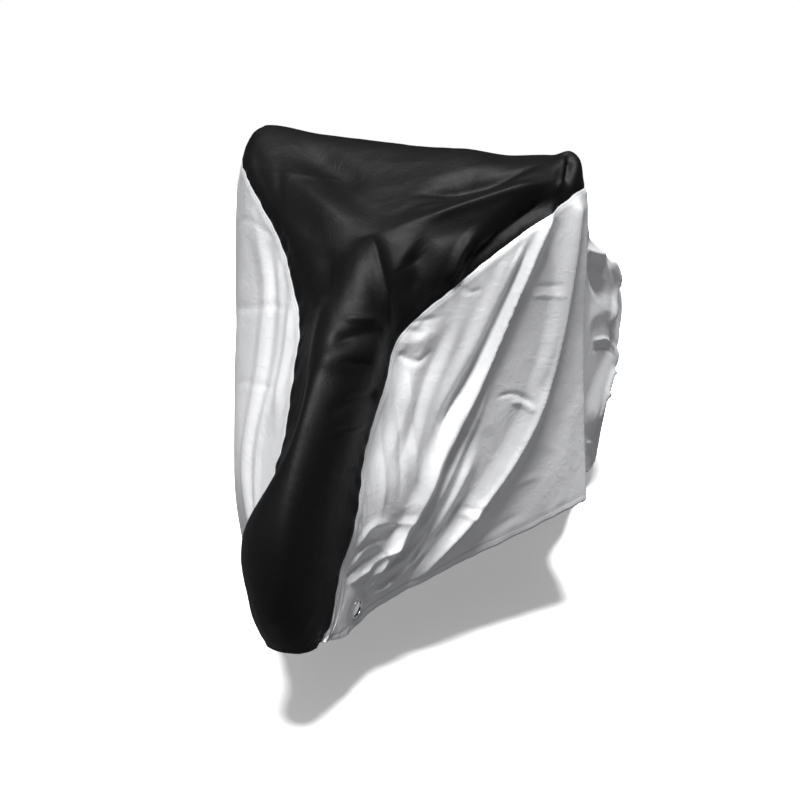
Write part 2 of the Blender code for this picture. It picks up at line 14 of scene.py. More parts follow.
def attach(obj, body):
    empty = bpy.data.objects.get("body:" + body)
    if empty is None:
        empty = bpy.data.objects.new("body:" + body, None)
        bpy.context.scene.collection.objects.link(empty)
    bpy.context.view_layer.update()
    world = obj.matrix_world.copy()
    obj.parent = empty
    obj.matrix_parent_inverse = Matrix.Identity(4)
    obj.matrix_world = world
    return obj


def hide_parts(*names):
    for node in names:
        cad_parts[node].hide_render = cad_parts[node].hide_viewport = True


bl_info = {
    "name": "Fitted bicycle cover",
    "version": (1, 0, 0),
    "blender": (4, 5, 0),
    "location": "View3D > Sidebar > Cover",
    "description": "Builds the sewn panels, eyelets and studio of a fitted bicycle cover",
    "category": "Add Mesh",
}

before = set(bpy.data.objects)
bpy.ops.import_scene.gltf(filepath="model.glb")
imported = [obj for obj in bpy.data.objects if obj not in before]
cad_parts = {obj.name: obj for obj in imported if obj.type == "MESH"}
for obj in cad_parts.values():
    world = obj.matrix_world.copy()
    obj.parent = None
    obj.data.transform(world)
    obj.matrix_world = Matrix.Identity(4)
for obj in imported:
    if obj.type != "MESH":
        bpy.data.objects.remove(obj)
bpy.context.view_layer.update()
TINY = 1e-6

# Lie of the cloth, in the same numbers as its solids
LEAN = math.radians(5.0)
BAR_TURN = math.radians(15.3)
FRAME_TURN = math.radians(2.2)
TURN_AXIS_Y = 0.07
TURNED_WITH_BAR_TO_Y = 0.30
TURNED_WITH_FRAME_FROM_Y = 0.80
MIDDLE_OF_BAR = np.array((0.0475, 0.2006, 0.9525))

# Eyelets, as (rib, distance across), and the flat spot of cloth under each
SIGN = {"left": 1, "right": -1}
EYELET_PLACE = {"left": (2.10, 1.80), "right": (2.10, -1.80)}
FLAT_RADIUS = 0.024
FLAT_BLEND_RADIUS = 0.044

# Cells of the fine net that the pieces are cut from
FRONT_CELLS = 228
REAR_CELLS = 176
CENTRE_CELLS = 112
SIDE_CELLS = {"left": 168, "right": 96}
CENTRE_ENDS_AFTER_BAR = 32
PATCH_CELLS_ALONG = (42, 78)
PATCH_CELLS_UP = {"left": 66, "right": 36}

# Hems, from the fold inwards: how far each row of cloth reaches under the edge, and how deep it lies.
# The rest says how much of the net a metre of hem takes up, in ribs at the ends and across at the sides.
HemRow = namedtuple("HemRow", "reach depth")
HEM_ROWS = (HemRow(0.0005, 0.0007), HemRow(0.004, 0.0014), HemRow(0.016, 0.0014))
FRONT_HEM_PER_METRE = 10.0
REAR_HEM_PER_METRE = 2.9
SIDE_HEM_PER_METRE = 2.0

# Ribs of the cover, from the front hem over the bar and the saddle to the rear hem, for a bicycle that
# stands upright with its bar straight. y and z are along and up from where the front tyre meets the
# ground. lift is how far the shoulders stand above the crest. square is 0 for a round shoulder and 1 for
# a square one. hang is 1 where the cloth hangs plumb from its crest and 0 where it lies against a wheel.
Crest = namedtuple("Crest", "y z lift square hang")
CREST = (
    Crest(-0.298, 0.186, 0.000, 0.2, 0.0),
    Crest(-0.352, 0.285, 0.000, 0.2, 0.0),
    Crest(-0.356, 0.400, 0.000, 0.2, 0.0),
    Crest(-0.274, 0.545, 0.000, 0.2, 0.1),
    Crest(-0.168, 0.668, 0.000, 0.2, 0.3),
    Crest(-0.075, 0.765, 0.000, 0.2, 0.5),
    Crest(0.015, 0.830, 0.000, 0.4, 0.8),
    Crest(0.110, 0.900, 0.006, 0.7, 1.0),
    Crest(0.205, 0.955, 0.014, 1.0, 1.0),
    Crest(0.300, 0.945, 0.010, 0.8, 1.0),
    Crest(0.520, 0.915, 0.000, 0.3, 0.8),
    Crest(0.750, 0.910, 0.000, 0.3, 0.5),
    Crest(0.900, 0.910, 0.000, 0.6, 0.3),
    Crest(1.050, 0.755, 0.000, 0.4, 0.1),
    Crest(1.280, 0.660, 0.000, 0.2, 0.0),
    Crest(1.430, 0.430, 0.000, 0.2, 0.0),
    Crest(1.430, 0.085, 0.000, 0.2, 0.0),
)
BAR_RIB = 8

# Half width w, y and z of the seam line and of the hem at each rib, and how far the cloth between them
# bulges out. From rib 10 on the two sides are alike.
Side = namedtuple("Side", "seam_w seam_y seam_z bulge hem_w hem_y hem_z")
REAR_SIDE = (
    Side(0.140, 0.520, 0.860, 0.010, 0.205, 0.590, 0.205),
    Side(0.080, 0.750, 0.850, 0.006, 0.140, 0.800, 0.140),
    Side(0.075, 0.915, 0.830, 0.004, 0.115, 0.950, 0.105),
    Side(0.074, 1.030, 0.695, 0.008, 0.105, 1.080, 0.085),
    Side(0.088, 1.230, 0.590, 0.004, 0.098, 1.200, 0.072),
    Side(0.078, 1.355, 0.390, 0.002, 0.082, 1.300, 0.070),
    Side(0.060, 1.390, 0.078, 0.000, 0.070, 1.350, 0.075),
)
SIDES = {
    "left": (
        Side(0.042, -0.247, 0.186, 0.000, 0.046, -0.232, 0.184),
        Side(0.048, -0.217, 0.225, 0.000, 0.054, -0.180, 0.164),
        Side(0.051, -0.184, 0.320, 0.004, 0.061, -0.125, 0.160),
        Side(0.058, -0.138, 0.470, 0.010, 0.070, -0.075, 0.166),
        Side(0.068, -0.080, 0.580, 0.022, 0.100, -0.010, 0.182),
        Side(0.082, -0.045, 0.662, 0.030, 0.145, 0.055, 0.205),
        Side(0.165, 0.030, 0.755, 0.030, 0.200, 0.130, 0.232),
        Side(0.258, 0.100, 0.846, 0.022, 0.265, 0.210, 0.265),
        Side(0.322, 0.205, 0.909, 0.010, 0.335, 0.290, 0.300),
        Side(0.285, 0.300, 0.880, 0.012, 0.315, 0.380, 0.285),
        *REAR_SIDE,
    ),
    "right": (
        Side(0.046, -0.238, 0.168, 0.000, 0.050, -0.225, 0.168),
        Side(0.068, -0.240, 0.225, 0.000, 0.072, -0.175, 0.160),
        Side(0.090, -0.215, 0.330, 0.010, 0.102, -0.125, 0.160),
        Side(0.084, -0.140, 0.470, 0.035, 0.140, -0.075, 0.162),
        Side(0.087, -0.096, 0.580, 0.055, 0.195, -0.010, 0.165),
        Side(0.103, -0.045, 0.662, 0.058, 0.250, 0.040, 0.175),
        Side(0.168, 0.030, 0.768, 0.050, 0.285, 0.100, 0.190),
        Side(0.268, 0.100, 0.868, 0.028, 0.310, 0.190, 0.220),
        Side(0.325, 0.205, 0.900, 0.010, 0.335, 0.290, 0.250),
        Side(0.285, 0.300, 0.880, 0.012, 0.315, 0.380, 0.250),
        *REAR_SIDE,
    ),
}
# Ribs where the cloth runs straighter from its crest to a seam line than it would over a wheel, and how
# much of its usual width the shoulder keeps there
SHOULDER_KEPT = {"left": {}, "right": {3: 0.40, 4: 0.62, 5: 0.80}}
# Where the arm and the shoulder of a rib lie on the way from its crest to its seam line, out and down, on
# a round rib and on a square one
Reach = namedtuple("Reach", "out down")
ARM = (Reach(0.59, 0.19), Reach(0.53, 0.0))
SHOULDER = (Reach(0.92, 0.62), Reach(0.93, 0.08))
NET_ACROSS = (-2, -1.5, -1, -0.75, -0.4, 0, 0.4, 0.75, 1, 1.5, 2)
# Steps over which the slope of the cloth is taken
PROBE_ALONG = 0.02
PROBE_ACROSS = 0.01

# Main folds. Each runs through three places, given as (rib, distance across): 0 is the crest, 1 the seam
# line and 2 the hem, negative on the right side. height is out from the cloth, or in where negative.
# crisp is 0 for a soft roll and 1 for a crease. rise and fall are the parts of its length over which the
# fold comes up and dies away.
Fold = namedtuple("Fold", "name start middle end height width crisp rise fall")
FOLDS = tuple(Fold(*row) for row in (
    ("sag between bar middle and left grip", (8, 0.2), (8, 0.5), (8, 0.72), -0.015, 0.09, 0, 0.4, 0.3),
    ("pleat over the left grip", (8, 0.7), (7.7, 0.79), (7.5, 0.92), -0.012, 0.026, 0.6, 0.2, 0.3),
    ("pleat over the right grip", (8.1, -0.7), (7.9, -0.8), (7.7, -0.92), -0.005, 0.02, 0.6, 0.2, 0.3),
    ("brow to the left grip", (5.6, 0), (6.5, 0.49), (7.55, 0.86), 0.02, 0.045, 0.4, 0.5, 0.3),
    ("brow to the right grip", (5.6, 0), (6.4, -0.42), (7.4, -0.72), 0.016, 0.055, 0.2, 0.4, 0.6),
    ("hollow above the left brow", (6.5, 0.16), (7, 0.42), (7.55, 0.64), -0.016, 0.055, 0.1, 0.4, 0.4),
    ("hollow above the right brow", (6.6, -0.1), (7.1, -0.3), (7.6, -0.52), -0.01, 0.05, 0.1, 0.4, 0.4),
    ("left edge of the nose facet", (5.7, 0), (4.6, 0.14), (3.9, 0.78), 0.004, 0.036, 0.1, 0.1, 0.4),
    ("right edge of the nose facet", (5.7, 0), (5.05, 0.36), (4.65, 0.88), 0.009, 0.028, 0.7, 0.1, 0.3),
    ("hollow left of the nose", (5.6, 0.38), (5.5, 0.62), (5.1, 0.88), -0.014, 0.05, 0.2, 0.3, 0.3),
    ("hollow right of the nose", (5.5, -0.3), (5, -0.42), (4.4, -0.36), -0.01, 0.045, 0.2, 0.3, 0.4),
    ("wedge beside the left seam", (7.4, 0.9), (6.65, 0.89), (5.9, 0.92), -0.013, 0.034, 0.5, 0.3, 0.2),
    ("lip of the wedge", (6.3, 0.72), (5.95, 0.8), (5.75, 0.95), 0.01, 0.018, 0.6, 0.3, 0.2),
    ("upper crease across the strip", (3.9, 0.04), (4.15, 0.36), (4.5, 0.76), -0.006, 0.02, 0.7, 0.3, 0.2),
    ("roll under the upper crease", (3.65, -0.2), (3.85, 0.3), (4.2, 0.85), 0.006, 0.03, 0, 0.3, 0.2),
    ("lower crease across the strip", (3.2, 0.3), (3.45, 0.62), (3.75, 0.95), -0.006, 0.02, 0.7, 0.3, 0.1),
    ("main sweep to the left eyelet", (7.75, 1), (6.75, 1.59), (4.1, 1.97), 0.014, 0.042, 0.6, 0.05, 0.25),
    ("hollow behind the main sweep", (7.9, 1.22), (7.15, 1.72), (5.2, 1.98), -0.004, 0.06, 0, 0.2, 0.3),
    ("ridge to the left eyelet", (7.4, 0.96), (5.7, 1.37), (2.6, 1.76), 0.017, 0.034, 0.7, 0.1, 0.1),
    ("trough inside the ridge", (7, 1.03), (5.95, 1.27), (4.9, 1.43), -0.011, 0.022, 0.5, 0.2, 0.3),
    ("lesser ridge to the left eyelet", (6.9, 1.02), (5.9, 1.23), (4.6, 1.42), 0.007, 0.026, 0.4, 0.2, 0.3),
    ("outer ridge to the left eyelet", (5.8, 1.53), (4.6, 1.77), (2.8, 1.9), 0.009, 0.028, 0.6, 0.2, 0.15),
    ("swelling beside the strip", (5.1, 1.1), (4.1, 1.28), (2.6, 1.28), 0.013, 0.08, 0, 0.3, 0.3),
    ("hollow under the swelling", (5.2, 1.5), (4.1, 1.62), (2, 1.3), -0.006, 0.034, 0.2, 0.3, 0.2),
    ("edge of the left curtain", (8, 0.97), (8, 1.5), (8, 2), 0.006, 0.03, 0.9, 0.05, 0),
    ("edge of the right curtain", (7.8, -1), (7.3, -1.5), (5.6, -1.9), 0.006, 0.045, 0.4, 0.1, 0.3),
    ("first ridge, right eyelet", (6.8, -1.06), (5.3, -1.28), (2.7, -1.66), 0.006, 0.036, 0.3, 0.2, 0.1),
    ("pucker beside the strip", (5.5, -1.02), (4.7, -1.12), (3.3, -1.16), 0.006, 0.026, 0.4, 0.3, 0.3),
    ("upper crease, right panel", (7.4, -1.2), (6.9, -1.13), (6.1, -1.02), -0.0015, 0.009, 0.7, 0.2, 0.2),
    ("middle crease, right panel", (7, -1.38), (6.2, -1.27), (5.2, -1.04), -0.002, 0.01, 0.7, 0.2, 0.2),
    ("lower crease, right panel", (6, -1.47), (5.4, -1.36), (4.2, -1.16), -0.0015, 0.009, 0.7, 0.2, 0.2),
    ("left drape from the saddle", (12, 0.9), (10.6, 1.4), (9.2, 1.95), 0.012, 0.08, 0, 0.2, 0.3),
    ("right drape from the saddle", (12, -0.9), (10.4, -1.4), (9.3, -1.95), 0.013, 0.08, 0, 0.2, 0.3),
    ("left hollow behind the bar", (9.2, 0.9), (9.8, 1.4), (10.2, 1.95), -0.014, 0.07, 0, 0.2, 0.1),
    ("right hollow behind the bar", (9.1, -0.9), (9.6, -1.4), (10, -1.95), -0.014, 0.07, 0, 0.2, 0.1),
    ("crest sag behind the bar", (9.4, 0), (10.2, 0), (11.2, 0), -0.016, 0.08, 0, 0.3, 0.3),
    ("tail, top facet", (13, 0.26), (13.45, 0.75), (14.2, 0.9), 0.009, 0.045, 0.6, 0.1, 0.2),
    ("tail, hollow under the facet", (12.7, 0.92), (13.2, 1.1), (13.8, 1.1), -0.014, 0.04, 0.4, 0.1, 0.3),
    ("tail, rear streak", (14.2, 0.6), (14.7, 0.95), (14.6, 1.35), 0.01, 0.036, 0.5, 0.1, 0.2),
    ("tail, upper crease", (14, 1.3), (14.4, 1.22), (15, 1.1), -0.006, 0.024, 0.5, 0.2, 0.2),
    ("tail, arch", (13.6, 1.75), (14.1, 1.45), (14.6, 1.4), 0.012, 0.024, 0.9, 0.1, 0.3),
    ("tail, lower hollow", (14.4, 1.6), (14.9, 1.6), (15.6, 1.45), -0.012, 0.03, 0.4, 0.2, 0.2),
    ("tail, right side ridge", (13, -0.8), (14, -1.1), (14.7, -1.6), 0.016, 0.035, 0.6, 0.1, 0.2),
    ("tail, right side hollow", (13.4, -1.5), (14.1, -1.35), (15.2, -1.1), -0.012, 0.035, 0.4, 0.1, 0.2),
))
# Finer creases and wrinkles that only the finished cloth has, in the same columns
CREASES = tuple(Fold(*row) for row in (
    ("upper packing crease", (6.85, 1.19), (7.1, 1.225), (7.4, 1.255), -0.002, 0.008, 1, 0.2, 0.2),
    ("light under the upper crease", (6.85, 1.22), (7.1, 1.25), (7.4, 1.285), 0.002, 0.009, 1, 0.2, 0.2),
    ("middle packing crease", (6.1, 1.43), (6.45, 1.46), (6.8, 1.54), -0.003, 0.009, 1, 0.2, 0.2),
    ("light under the middle crease", (6.35, 1.475), (6.55, 1.505), (6.8, 1.565), 0.003, 0.01, 1, 0.2, 0.2),
    ("lower packing crease", (5.25, 1.72), (5.6, 1.78), (6, 1.79), -0.002, 0.009, 1, 0.2, 0.2),
    ("light under the lower crease", (5.25, 1.75), (5.6, 1.81), (6, 1.82), 0.003, 0.01, 1, 0.2, 0.2),
    ("crescent by the seam corner", (4.8, 1.05), (5.1, 1.15), (5.35, 1.15), -0.004, 0.013, 0.9, 0.1, 0.2),
    ("swelling above the crescent", (4.9, 1.02), (5.2, 1.09), (5.5, 1.09), 0.004, 0.022, 0.3, 0.2, 0.3),
    ("short crease over the crescent", (5.1, 1.01), (5.2, 1.05), (5.3, 1.09), -0.002, 0.009, 0.9, 0.1, 0.3),
    ("second crease over the crescent", (5.2, 1), (5.4, 1.045), (5.6, 1.09), -0.002, 0.009, 0.9, 0.1, 0.3),
    ("short crease under the seam", (5.9, 1.02), (6, 1.07), (6.2, 1.1), -0.002, 0.009, 0.9, 0.1, 0.3),
    ("bright edge of the ridge", (7.35, 0.965), (6.2, 1.28), (4.9, 1.515), 0.008, 0.01, 0.9, 0.1, 0.2),
    ("groove inside the bright edge", (7.1, 1.01), (6.2, 1.245), (5.2, 1.4), -0.009, 0.015, 0.7, 0.2, 0.2),
    ("second bright line", (6.95, 1.02), (6.25, 1.18), (5.4, 1.34), 0.006, 0.01, 0.9, 0.2, 0.3),
    ("groove outside the bright edge", (6.9, 1.15), (6, 1.34), (4.7, 1.6), -0.009, 0.015, 0.8, 0.2, 0.2),
    ("thin ridge outside the groove", (6.2, 1.335), (5.2, 1.57), (3.7, 1.845), 0.005, 0.013, 0.9, 0.2, 0.2),
    ("dark band beside the thin ridge", (5.9, 1.44), (5, 1.68), (3.8, 1.9), -0.005, 0.014, 0.7, 0.2, 0.2),
    ("last ridge to the left eyelet", (5.3, 1.7), (4.5, 1.84), (2.9, 1.9), 0.005, 0.014, 0.9, 0.3, 0.2),
    ("soft fold one over the swelling", (5.9, 1.08), (5.2, 1.28), (3.7, 1.41), 0.004, 0.026, 0.4, 0.2, 0.3),
    ("soft hollow beside fold one", (5.8, 1.1), (4.9, 1.25), (3.4, 1.32), -0.004, 0.024, 0.4, 0.2, 0.3),
    ("soft fold two over the swelling", (5.5, 1.08), (4.6, 1.2), (3, 1.22), 0.004, 0.028, 0.3, 0.2, 0.3),
    ("fullness above the hollow", (5.4, 1.4), (3.7, 1.5), (1.7, 1.12), 0.018, 0.14, 0.1, 0.3, 0.3),
    ("first crease, fullness", (5, 1.1), (4.4, 1.32), (4.1, 1.5), 0.004, 0.016, 0.8, 0.2, 0.3),
    ("second crease, fullness", (4.3, 1.05), (3.9, 1.26), (3.6, 1.46), -0.004, 0.016, 0.8, 0.2, 0.3),
    ("third crease, fullness", (3.6, 1.04), (3.3, 1.2), (3, 1.42), 0.003, 0.014, 0.8, 0.2, 0.3),
    ("lower edge of the swelling", (5.3, 1.45), (3.9, 1.6), (1.95, 1.06), 0.004, 0.016, 0.6, 0.3, 0.1),
    ("fullness along the main sweep", (6.2, 1.8), (5.3, 1.88), (4, 1.97), 0.009, 0.05, 0.2, 0.3, 0.2),
    ("fan one by the left eyelet", (4.6, 1.6), (3.5, 1.66), (2, 1.5), 0.005, 0.014, 0.9, 0.3, 0.2),
    ("fan two by the left eyelet", (4.8, 1.66), (3.5, 1.735), (2.1, 1.62), 0.005, 0.013, 0.9, 0.3, 0.2),
    ("trough beside fan two", (4.7, 1.69), (3.6, 1.77), (2, 1.58), -0.0025, 0.011, 0.8, 0.3, 0.2),
    ("fan three by the left eyelet", (4.7, 1.72), (3.7, 1.8), (2.3, 1.74), 0.005, 0.012, 0.9, 0.3, 0.2),
    ("fan four by the left eyelet", (4.9, 1.78), (3.9, 1.86), (2.6, 1.86), 0.004, 0.012, 0.9, 0.3, 0.2),
    ("fan five, from the strip", (3.3, 1.6), (2.5, 1.38), (1.75, 1.08), 0.005, 0.013, 0.9, 0.3, 0.25),
    ("trough beside fan five", (3.1, 1.62), (2.35, 1.42), (1.65, 1.12), -0.003, 0.011, 0.8, 0.3, 0.1),
    ("fan six, from the strip", (3, 1.66), (2.2, 1.47), (1.55, 1.16), 0.004, 0.013, 0.9, 0.3, 0.4),
    ("sharp edge of the main sweep", (7.7, 1.05), (6.75, 1.6), (4.1, 1.975), 0.005, 0.013, 1, 0.3, 0.2),
    ("soft band along the main sweep", (7.72, 1), (7.25, 1.34), (6.7, 1.52), 0.005, 0.022, 0.3, 0.1, 0.4),
    ("inner edge of the main sweep", (5.7, 1.7), (5, 1.77), (3.9, 1.94), -0.003, 0.013, 0.8, 0.3, 0.2),
    ("line across the curtain", (7.1, 1.83), (6.6, 1.8), (6.1, 1.8), 0.002, 0.016, 0.5, 0.3, 0.3),
    ("second line across the curtain", (6.7, 1.92), (6.1, 1.93), (5.4, 1.95), -0.002, 0.016, 0.5, 0.3, 0.3),
    ("flat of the nose facet", (5.6, 0.03), (4.85, 0.27), (4, 0.9), 0.006, 0.036, 0, 0.2, 0.3),
    ("crisp right edge of the facet", (5.6, 0.05), (5.05, 0.36), (4.65, 0.88), 0.002, 0.01, 1, 0.2, 0.3),
    ("first arc under the bar, left", (6.3, 0.16), (6.75, 0.44), (7.5, 0.7), 0.006, 0.016, 0.8, 0.3, 0.2),
    ("second arc under the bar, left", (6.6, 0.1), (7.1, 0.42), (7.7, 0.66), -0.005, 0.016, 0.8, 0.3, 0.3),
    ("third arc under the bar, left", (6.05, 0.3), (6.6, 0.56), (7.35, 0.82), 0.005, 0.014, 0.8, 0.3, 0.2),
    ("bright lip of the wedge", (6.55, 0.86), (6.1, 0.9), (5.8, 0.97), 0.006, 0.011, 0.9, 0.3, 0.2),
    ("fold line over the grip", (7.9, 0.66), (7.62, 0.78), (7.35, 0.93), 0.007, 0.011, 1, 0.2, 0.2),
    ("pocket beside the grip", (7.85, 0.74), (7.7, 0.84), (7.55, 0.95), -0.008, 0.016, 0.7, 0.2, 0.2),
    ("fine crease one on the strip", (4.25, 0.05), (4.35, 0.34), (4.55, 0.62), 0.004, 0.01, 0.8, 0.3, 0.3),
    ("fine crease two on the strip", (3.75, 0.2), (3.85, 0.48), (4.05, 0.8), -0.004, 0.01, 0.8, 0.3, 0.3),
    ("fine crease three on the strip", (3.05, 0.4), (3.15, 0.66), (3.35, 0.94), 0.004, 0.01, 0.8, 0.3, 0.2),
    ("fine crease four on the strip", (2.7, 0.55), (2.75, 0.75), (2.85, 0.96), -0.003, 0.01, 0.8, 0.3, 0.2),
    ("crease under the right grip", (7.4, -0.62), (6.9, -0.6), (6.3, -0.72), -0.002, 0.018, 0.6, 0.2, 0.3),
    ("crease across the right arm", (7, -0.2), (6.8, -0.5), (6.9, -0.86), 0.002, 0.016, 0.7, 0.3, 0.3),
    ("second ridge, right eyelet", (6.2, -1.05), (4.9, -1.18), (2.5, -1.48), 0.003, 0.02, 0.3, 0.2, 0.1),
    ("trough, right eyelet", (6.5, -1.06), (5.1, -1.23), (2.6, -1.57), -0.003, 0.018, 0.3, 0.2, 0.1),
    ("left fold below the saddle", (12.3, 0.95), (11.5, 1.4), (11, 1.9), 0.008, 0.035, 0.3, 0.2, 0.3),
    ("drape behind the left grip", (8.2, 1.02), (8.8, 1.45), (9.2, 1.9), 0.007, 0.035, 0.3, 0.2, 0.3),
    ("pull to the rear hem, left", (9, 1.05), (9.9, 1.5), (11.2, 1.9), 0.005, 0.024, 0.5, 0.2, 0.4),
    ("right fold below the saddle", (12.3, -0.95), (11.3, -1.45), (10.9, -1.9), 0.008, 0.035, 0.3, 0.2, 0.3),
    ("drape behind the right grip", (8.2, -1.02), (8.7, -1.4), (9, -1.9), 0.007, 0.035, 0.3, 0.2, 0.3),
    ("pull to the rear hem, right", (9.1, -1.05), (10.1, -1.45), (11.4, -1.88), 0.005, 0.024, 0.5, 0.2, 0.4),
    ("slack line behind the bar", (8.8, 0.45), (10, 0.35), (11.6, 0.3), 0.006, 0.03, 0.3, 0.3, 0.3),
    ("packing crease, left side", (10.6, 0.6), (10.6, 1.3), (10.6, 1.98), 0.0015, 0.009, 1, 0.1, 0.1),
    ("packing crease, right side", (10.7, -0.6), (10.7, -1.3), (10.7, -1.98), 0.0015, 0.009, 1, 0.1, 0.1),
    ("tail, fullness", (13.1, 1.8), (14, 1.5), (14.9, 1.15), 0.018, 0.1, 0.2, 0.2, 0.2),
    ("tail, upper fullness", (12.9, 1.3), (13.6, 1.2), (14.4, 1.12), 0.006, 0.05, 0.4, 0.2, 0.2),
    ("tail, split in the top facet", (13, 0.6), (13.5, 0.75), (13.9, 1), -0.006, 0.016, 0.8, 0.2, 0.3),
    ("tail, edge of the dark facet", (12.45, 1.12), (13, 0.93), (13.65, 0.56), 0.016, 0.03, 1, 0.1, 0.3),
    ("tail, bright streak", (13.6, 0.7), (14, 0.92), (13.95, 1.24), 0.016, 0.026, 1, 0.1, 0.1),
    ("tail, bright line", (13.15, 1.36), (13.8, 1.31), (14.4, 1.27), 0.008, 0.012, 1, 0.2, 0.2),
    ("tail, shade under the line", (13.15, 1.4), (13.8, 1.35), (14.4, 1.31), -0.003, 0.012, 0.8, 0.2, 0.2),
    ("tail, upright crease", (13.8, 1.53), (14.1, 1.75), (14.4, 1.95), 0.007, 0.013, 1, 0.1, 0.1),
    ("tail, low bright triangle", (13.2, 1.83), (13.8, 1.86), (14.3, 1.98), 0.007, 0.015, 0.8, 0.2, 0.1),
    ("tail, low crumple one", (14, 1.7), (14.5, 1.62), (14.7, 1.66), 0.005, 0.014, 0.8, 0.2, 0.2),
    ("tail, low crumple two", (14.6, 1.85), (15, 1.74), (15.5, 1.7), -0.003, 0.014, 0.8, 0.2, 0.2),
))
FOLD_STEPS = 14

# Puckers along seams and hems: how far they reach into the cloth, how high and how far apart they are.
# side_shift sets one side's puckers apart from the other's.
Gather = namedtuple("Gather", "reach height pitch side_shift seed")
GATHERS = {"seam": Gather(0.045, 0.0022, 0.020, 1, 1), "hem": Gather(0.035, 0.0018, 0.024, 3, 2)}
PUCKER_LENGTH = 0.09
PUCKER_GAIN = 1.6
# Patches where the puckers are stronger: their size, and the strength over a range of their unevenness
PUCKER_PATCH = 0.11
PUCKER_PATCH_RANGE = (-0.2, 0.8)
PUCKER_STRENGTH = (0.6, 1.4)
PATCH_SEED_SHIFT = 5

# Unevenness between the folds: size and height of the lumps, how crisp they are, and how drawn out they are
Lump = namedtuple("Lump", "name size height crisp stretch seed")
UNEVENNESS = (
    Lump("slack cloth", 0.150, 0.0040, 0.0, 0.7, 21),
    Lump("dents", 0.062, 0.0018, 0.5, 0.6, 22),
    Lump("crumples", 0.030, 0.0006, 0.9, 0.7, 23),
)
# Patches where the cloth is slack enough to show it, and how far its lumps are swirled out of line
SLACK_PATCH = 0.22
SLACK_SEED = 9
SLACK_RANGE = (-0.4, 0.5)
SLACK_STRENGTH = (0.1, 1.0)
SWIRL = 0.02
SWIRL_PATCH = 0.09
SWIRL_SEED = 4
CREASE_POWER = 0.8
SEED_STEP = 17.3

# Grooves that sewing draws in, and the soft roll beside a seam: distance from the line, width, and depth
# as a share of the seam depth
Groove = namedtuple("Groove", "beside at width depth")
GROOVES = (
    Groove("seam", 0, 0.0035, 1.0),
    Groove("seam", 0.009, 0.005, -0.6),
    Groove("hem", HEM_ROWS[-1].reach, 0.003, 0.5),
)

# Sizes to which the pieces of cloth are cut, in metres and square metres
Cut = namedtuple("Cut", "width length area")

# Eyelets, each turned about its axis
HOLE_RADIUS = 0.0160
EYELET_STEPS = 96
Turn = namedtuple("Turn", "radius height")
EYELET_PROFILE = (
    Turn(0.0135, 0.0004), Turn(0.0137, 0.0012), Turn(0.0144, 0.0018), Turn(0.0156, 0.0021),
    Turn(0.0168, 0.0019), Turn(0.0180, 0.0013), Turn(0.0188, 0.0006), Turn(0.0190, 0.0002),
    Turn(0.0155, 0.0001), Turn(0.0155, -0.0022), Turn(0.0190, -0.0024), Turn(0.0188, -0.0032),
    Turn(0.0176, -0.0036), Turn(0.0148, -0.0036), Turn(0.0138, -0.0032), Turn(0.0135, -0.0024),
)

# Stitches: how far from the seam they lie, how far apart two points are that give their direction, and
# the half sizes and the rise of a bead as shares of a stitch
SEAM_STITCH_OFFSET = 0.004
STITCH_PROBE = 0.0005
BEAD_HALF_SIZE = (0.44, 0.13, 0.10)
BEAD_RISE = 0.04

# Finish of a coated cloth: size and height of its crinkles, blotches to the metre, colour and reach of the
# band along a hem and how much of it shows, and how rough the coat is. The band is painted shade of the hem's
# edge on the silver, where it is darker, and wear on the black, where it is lighter.
Coat = namedtuple("Coat", "crinkle crinkle_height blotches worn worn_reach worn_share smoothest roughest")
SILVER_COAT = Coat(0.030, 0.0006, 9.0, "#8f9093", 0.006, 0.35, 0.36, 0.50)
BLACK_COAT = Coat(0.024, 0.0004, 14.0, "#2c2c2e", 0.005, 0.40, 0.48, 0.62)
WEAVE_HEIGHT = 0.00008
CELLS_IN_CRINKLE = 3.5
TURNING_MARKS_PER_METRE = 900.0
CLOUDS_PER_METRE = 3.0
# The real twist of the thread is about 0.3 mm; it is drawn at 0.8 mm so that it shows
DRAWN_TWIST = 0.0008
# Second tones, laid over the colours that the settings hold
SECOND_BLACK = "#0b0b0c"
SECOND_METAL = "#f2f2f3"
SECOND_THREAD = "#8c8d90"
SECOND_FLOOR = "#fafafa"
ROOM_COLOUR = "#f8f8f7"

# Studio
CAMERA_PLACE = (0.9335, -1.5626, -0.0385)
CAMERA_TOWARDS = (-0.5066, 0.8300, -0.2334)
SENSOR_WIDTH = 36
Sun = namedtuple("Sun", "name strength spread towards")
SUNS = (
    Sun("key_light", 1.0, 14, (-0.17, 0.345, -0.92)),
    Sun("side_light", 0.03, 40, (0.70, 0.65, -0.30)),
)
# The soft box fades between two angles from its middle, given as their cosines
SOFT_BOX_FROM = (0.15, -0.60, 0.78)
SOFT_BOX_EDGE = (0.75, 0.97)
FLOOR_CELLS = 8
# Length over which a wave texture of scale 1 repeats, in metres
WAVE_PERIOD = 2 * math.pi / 20


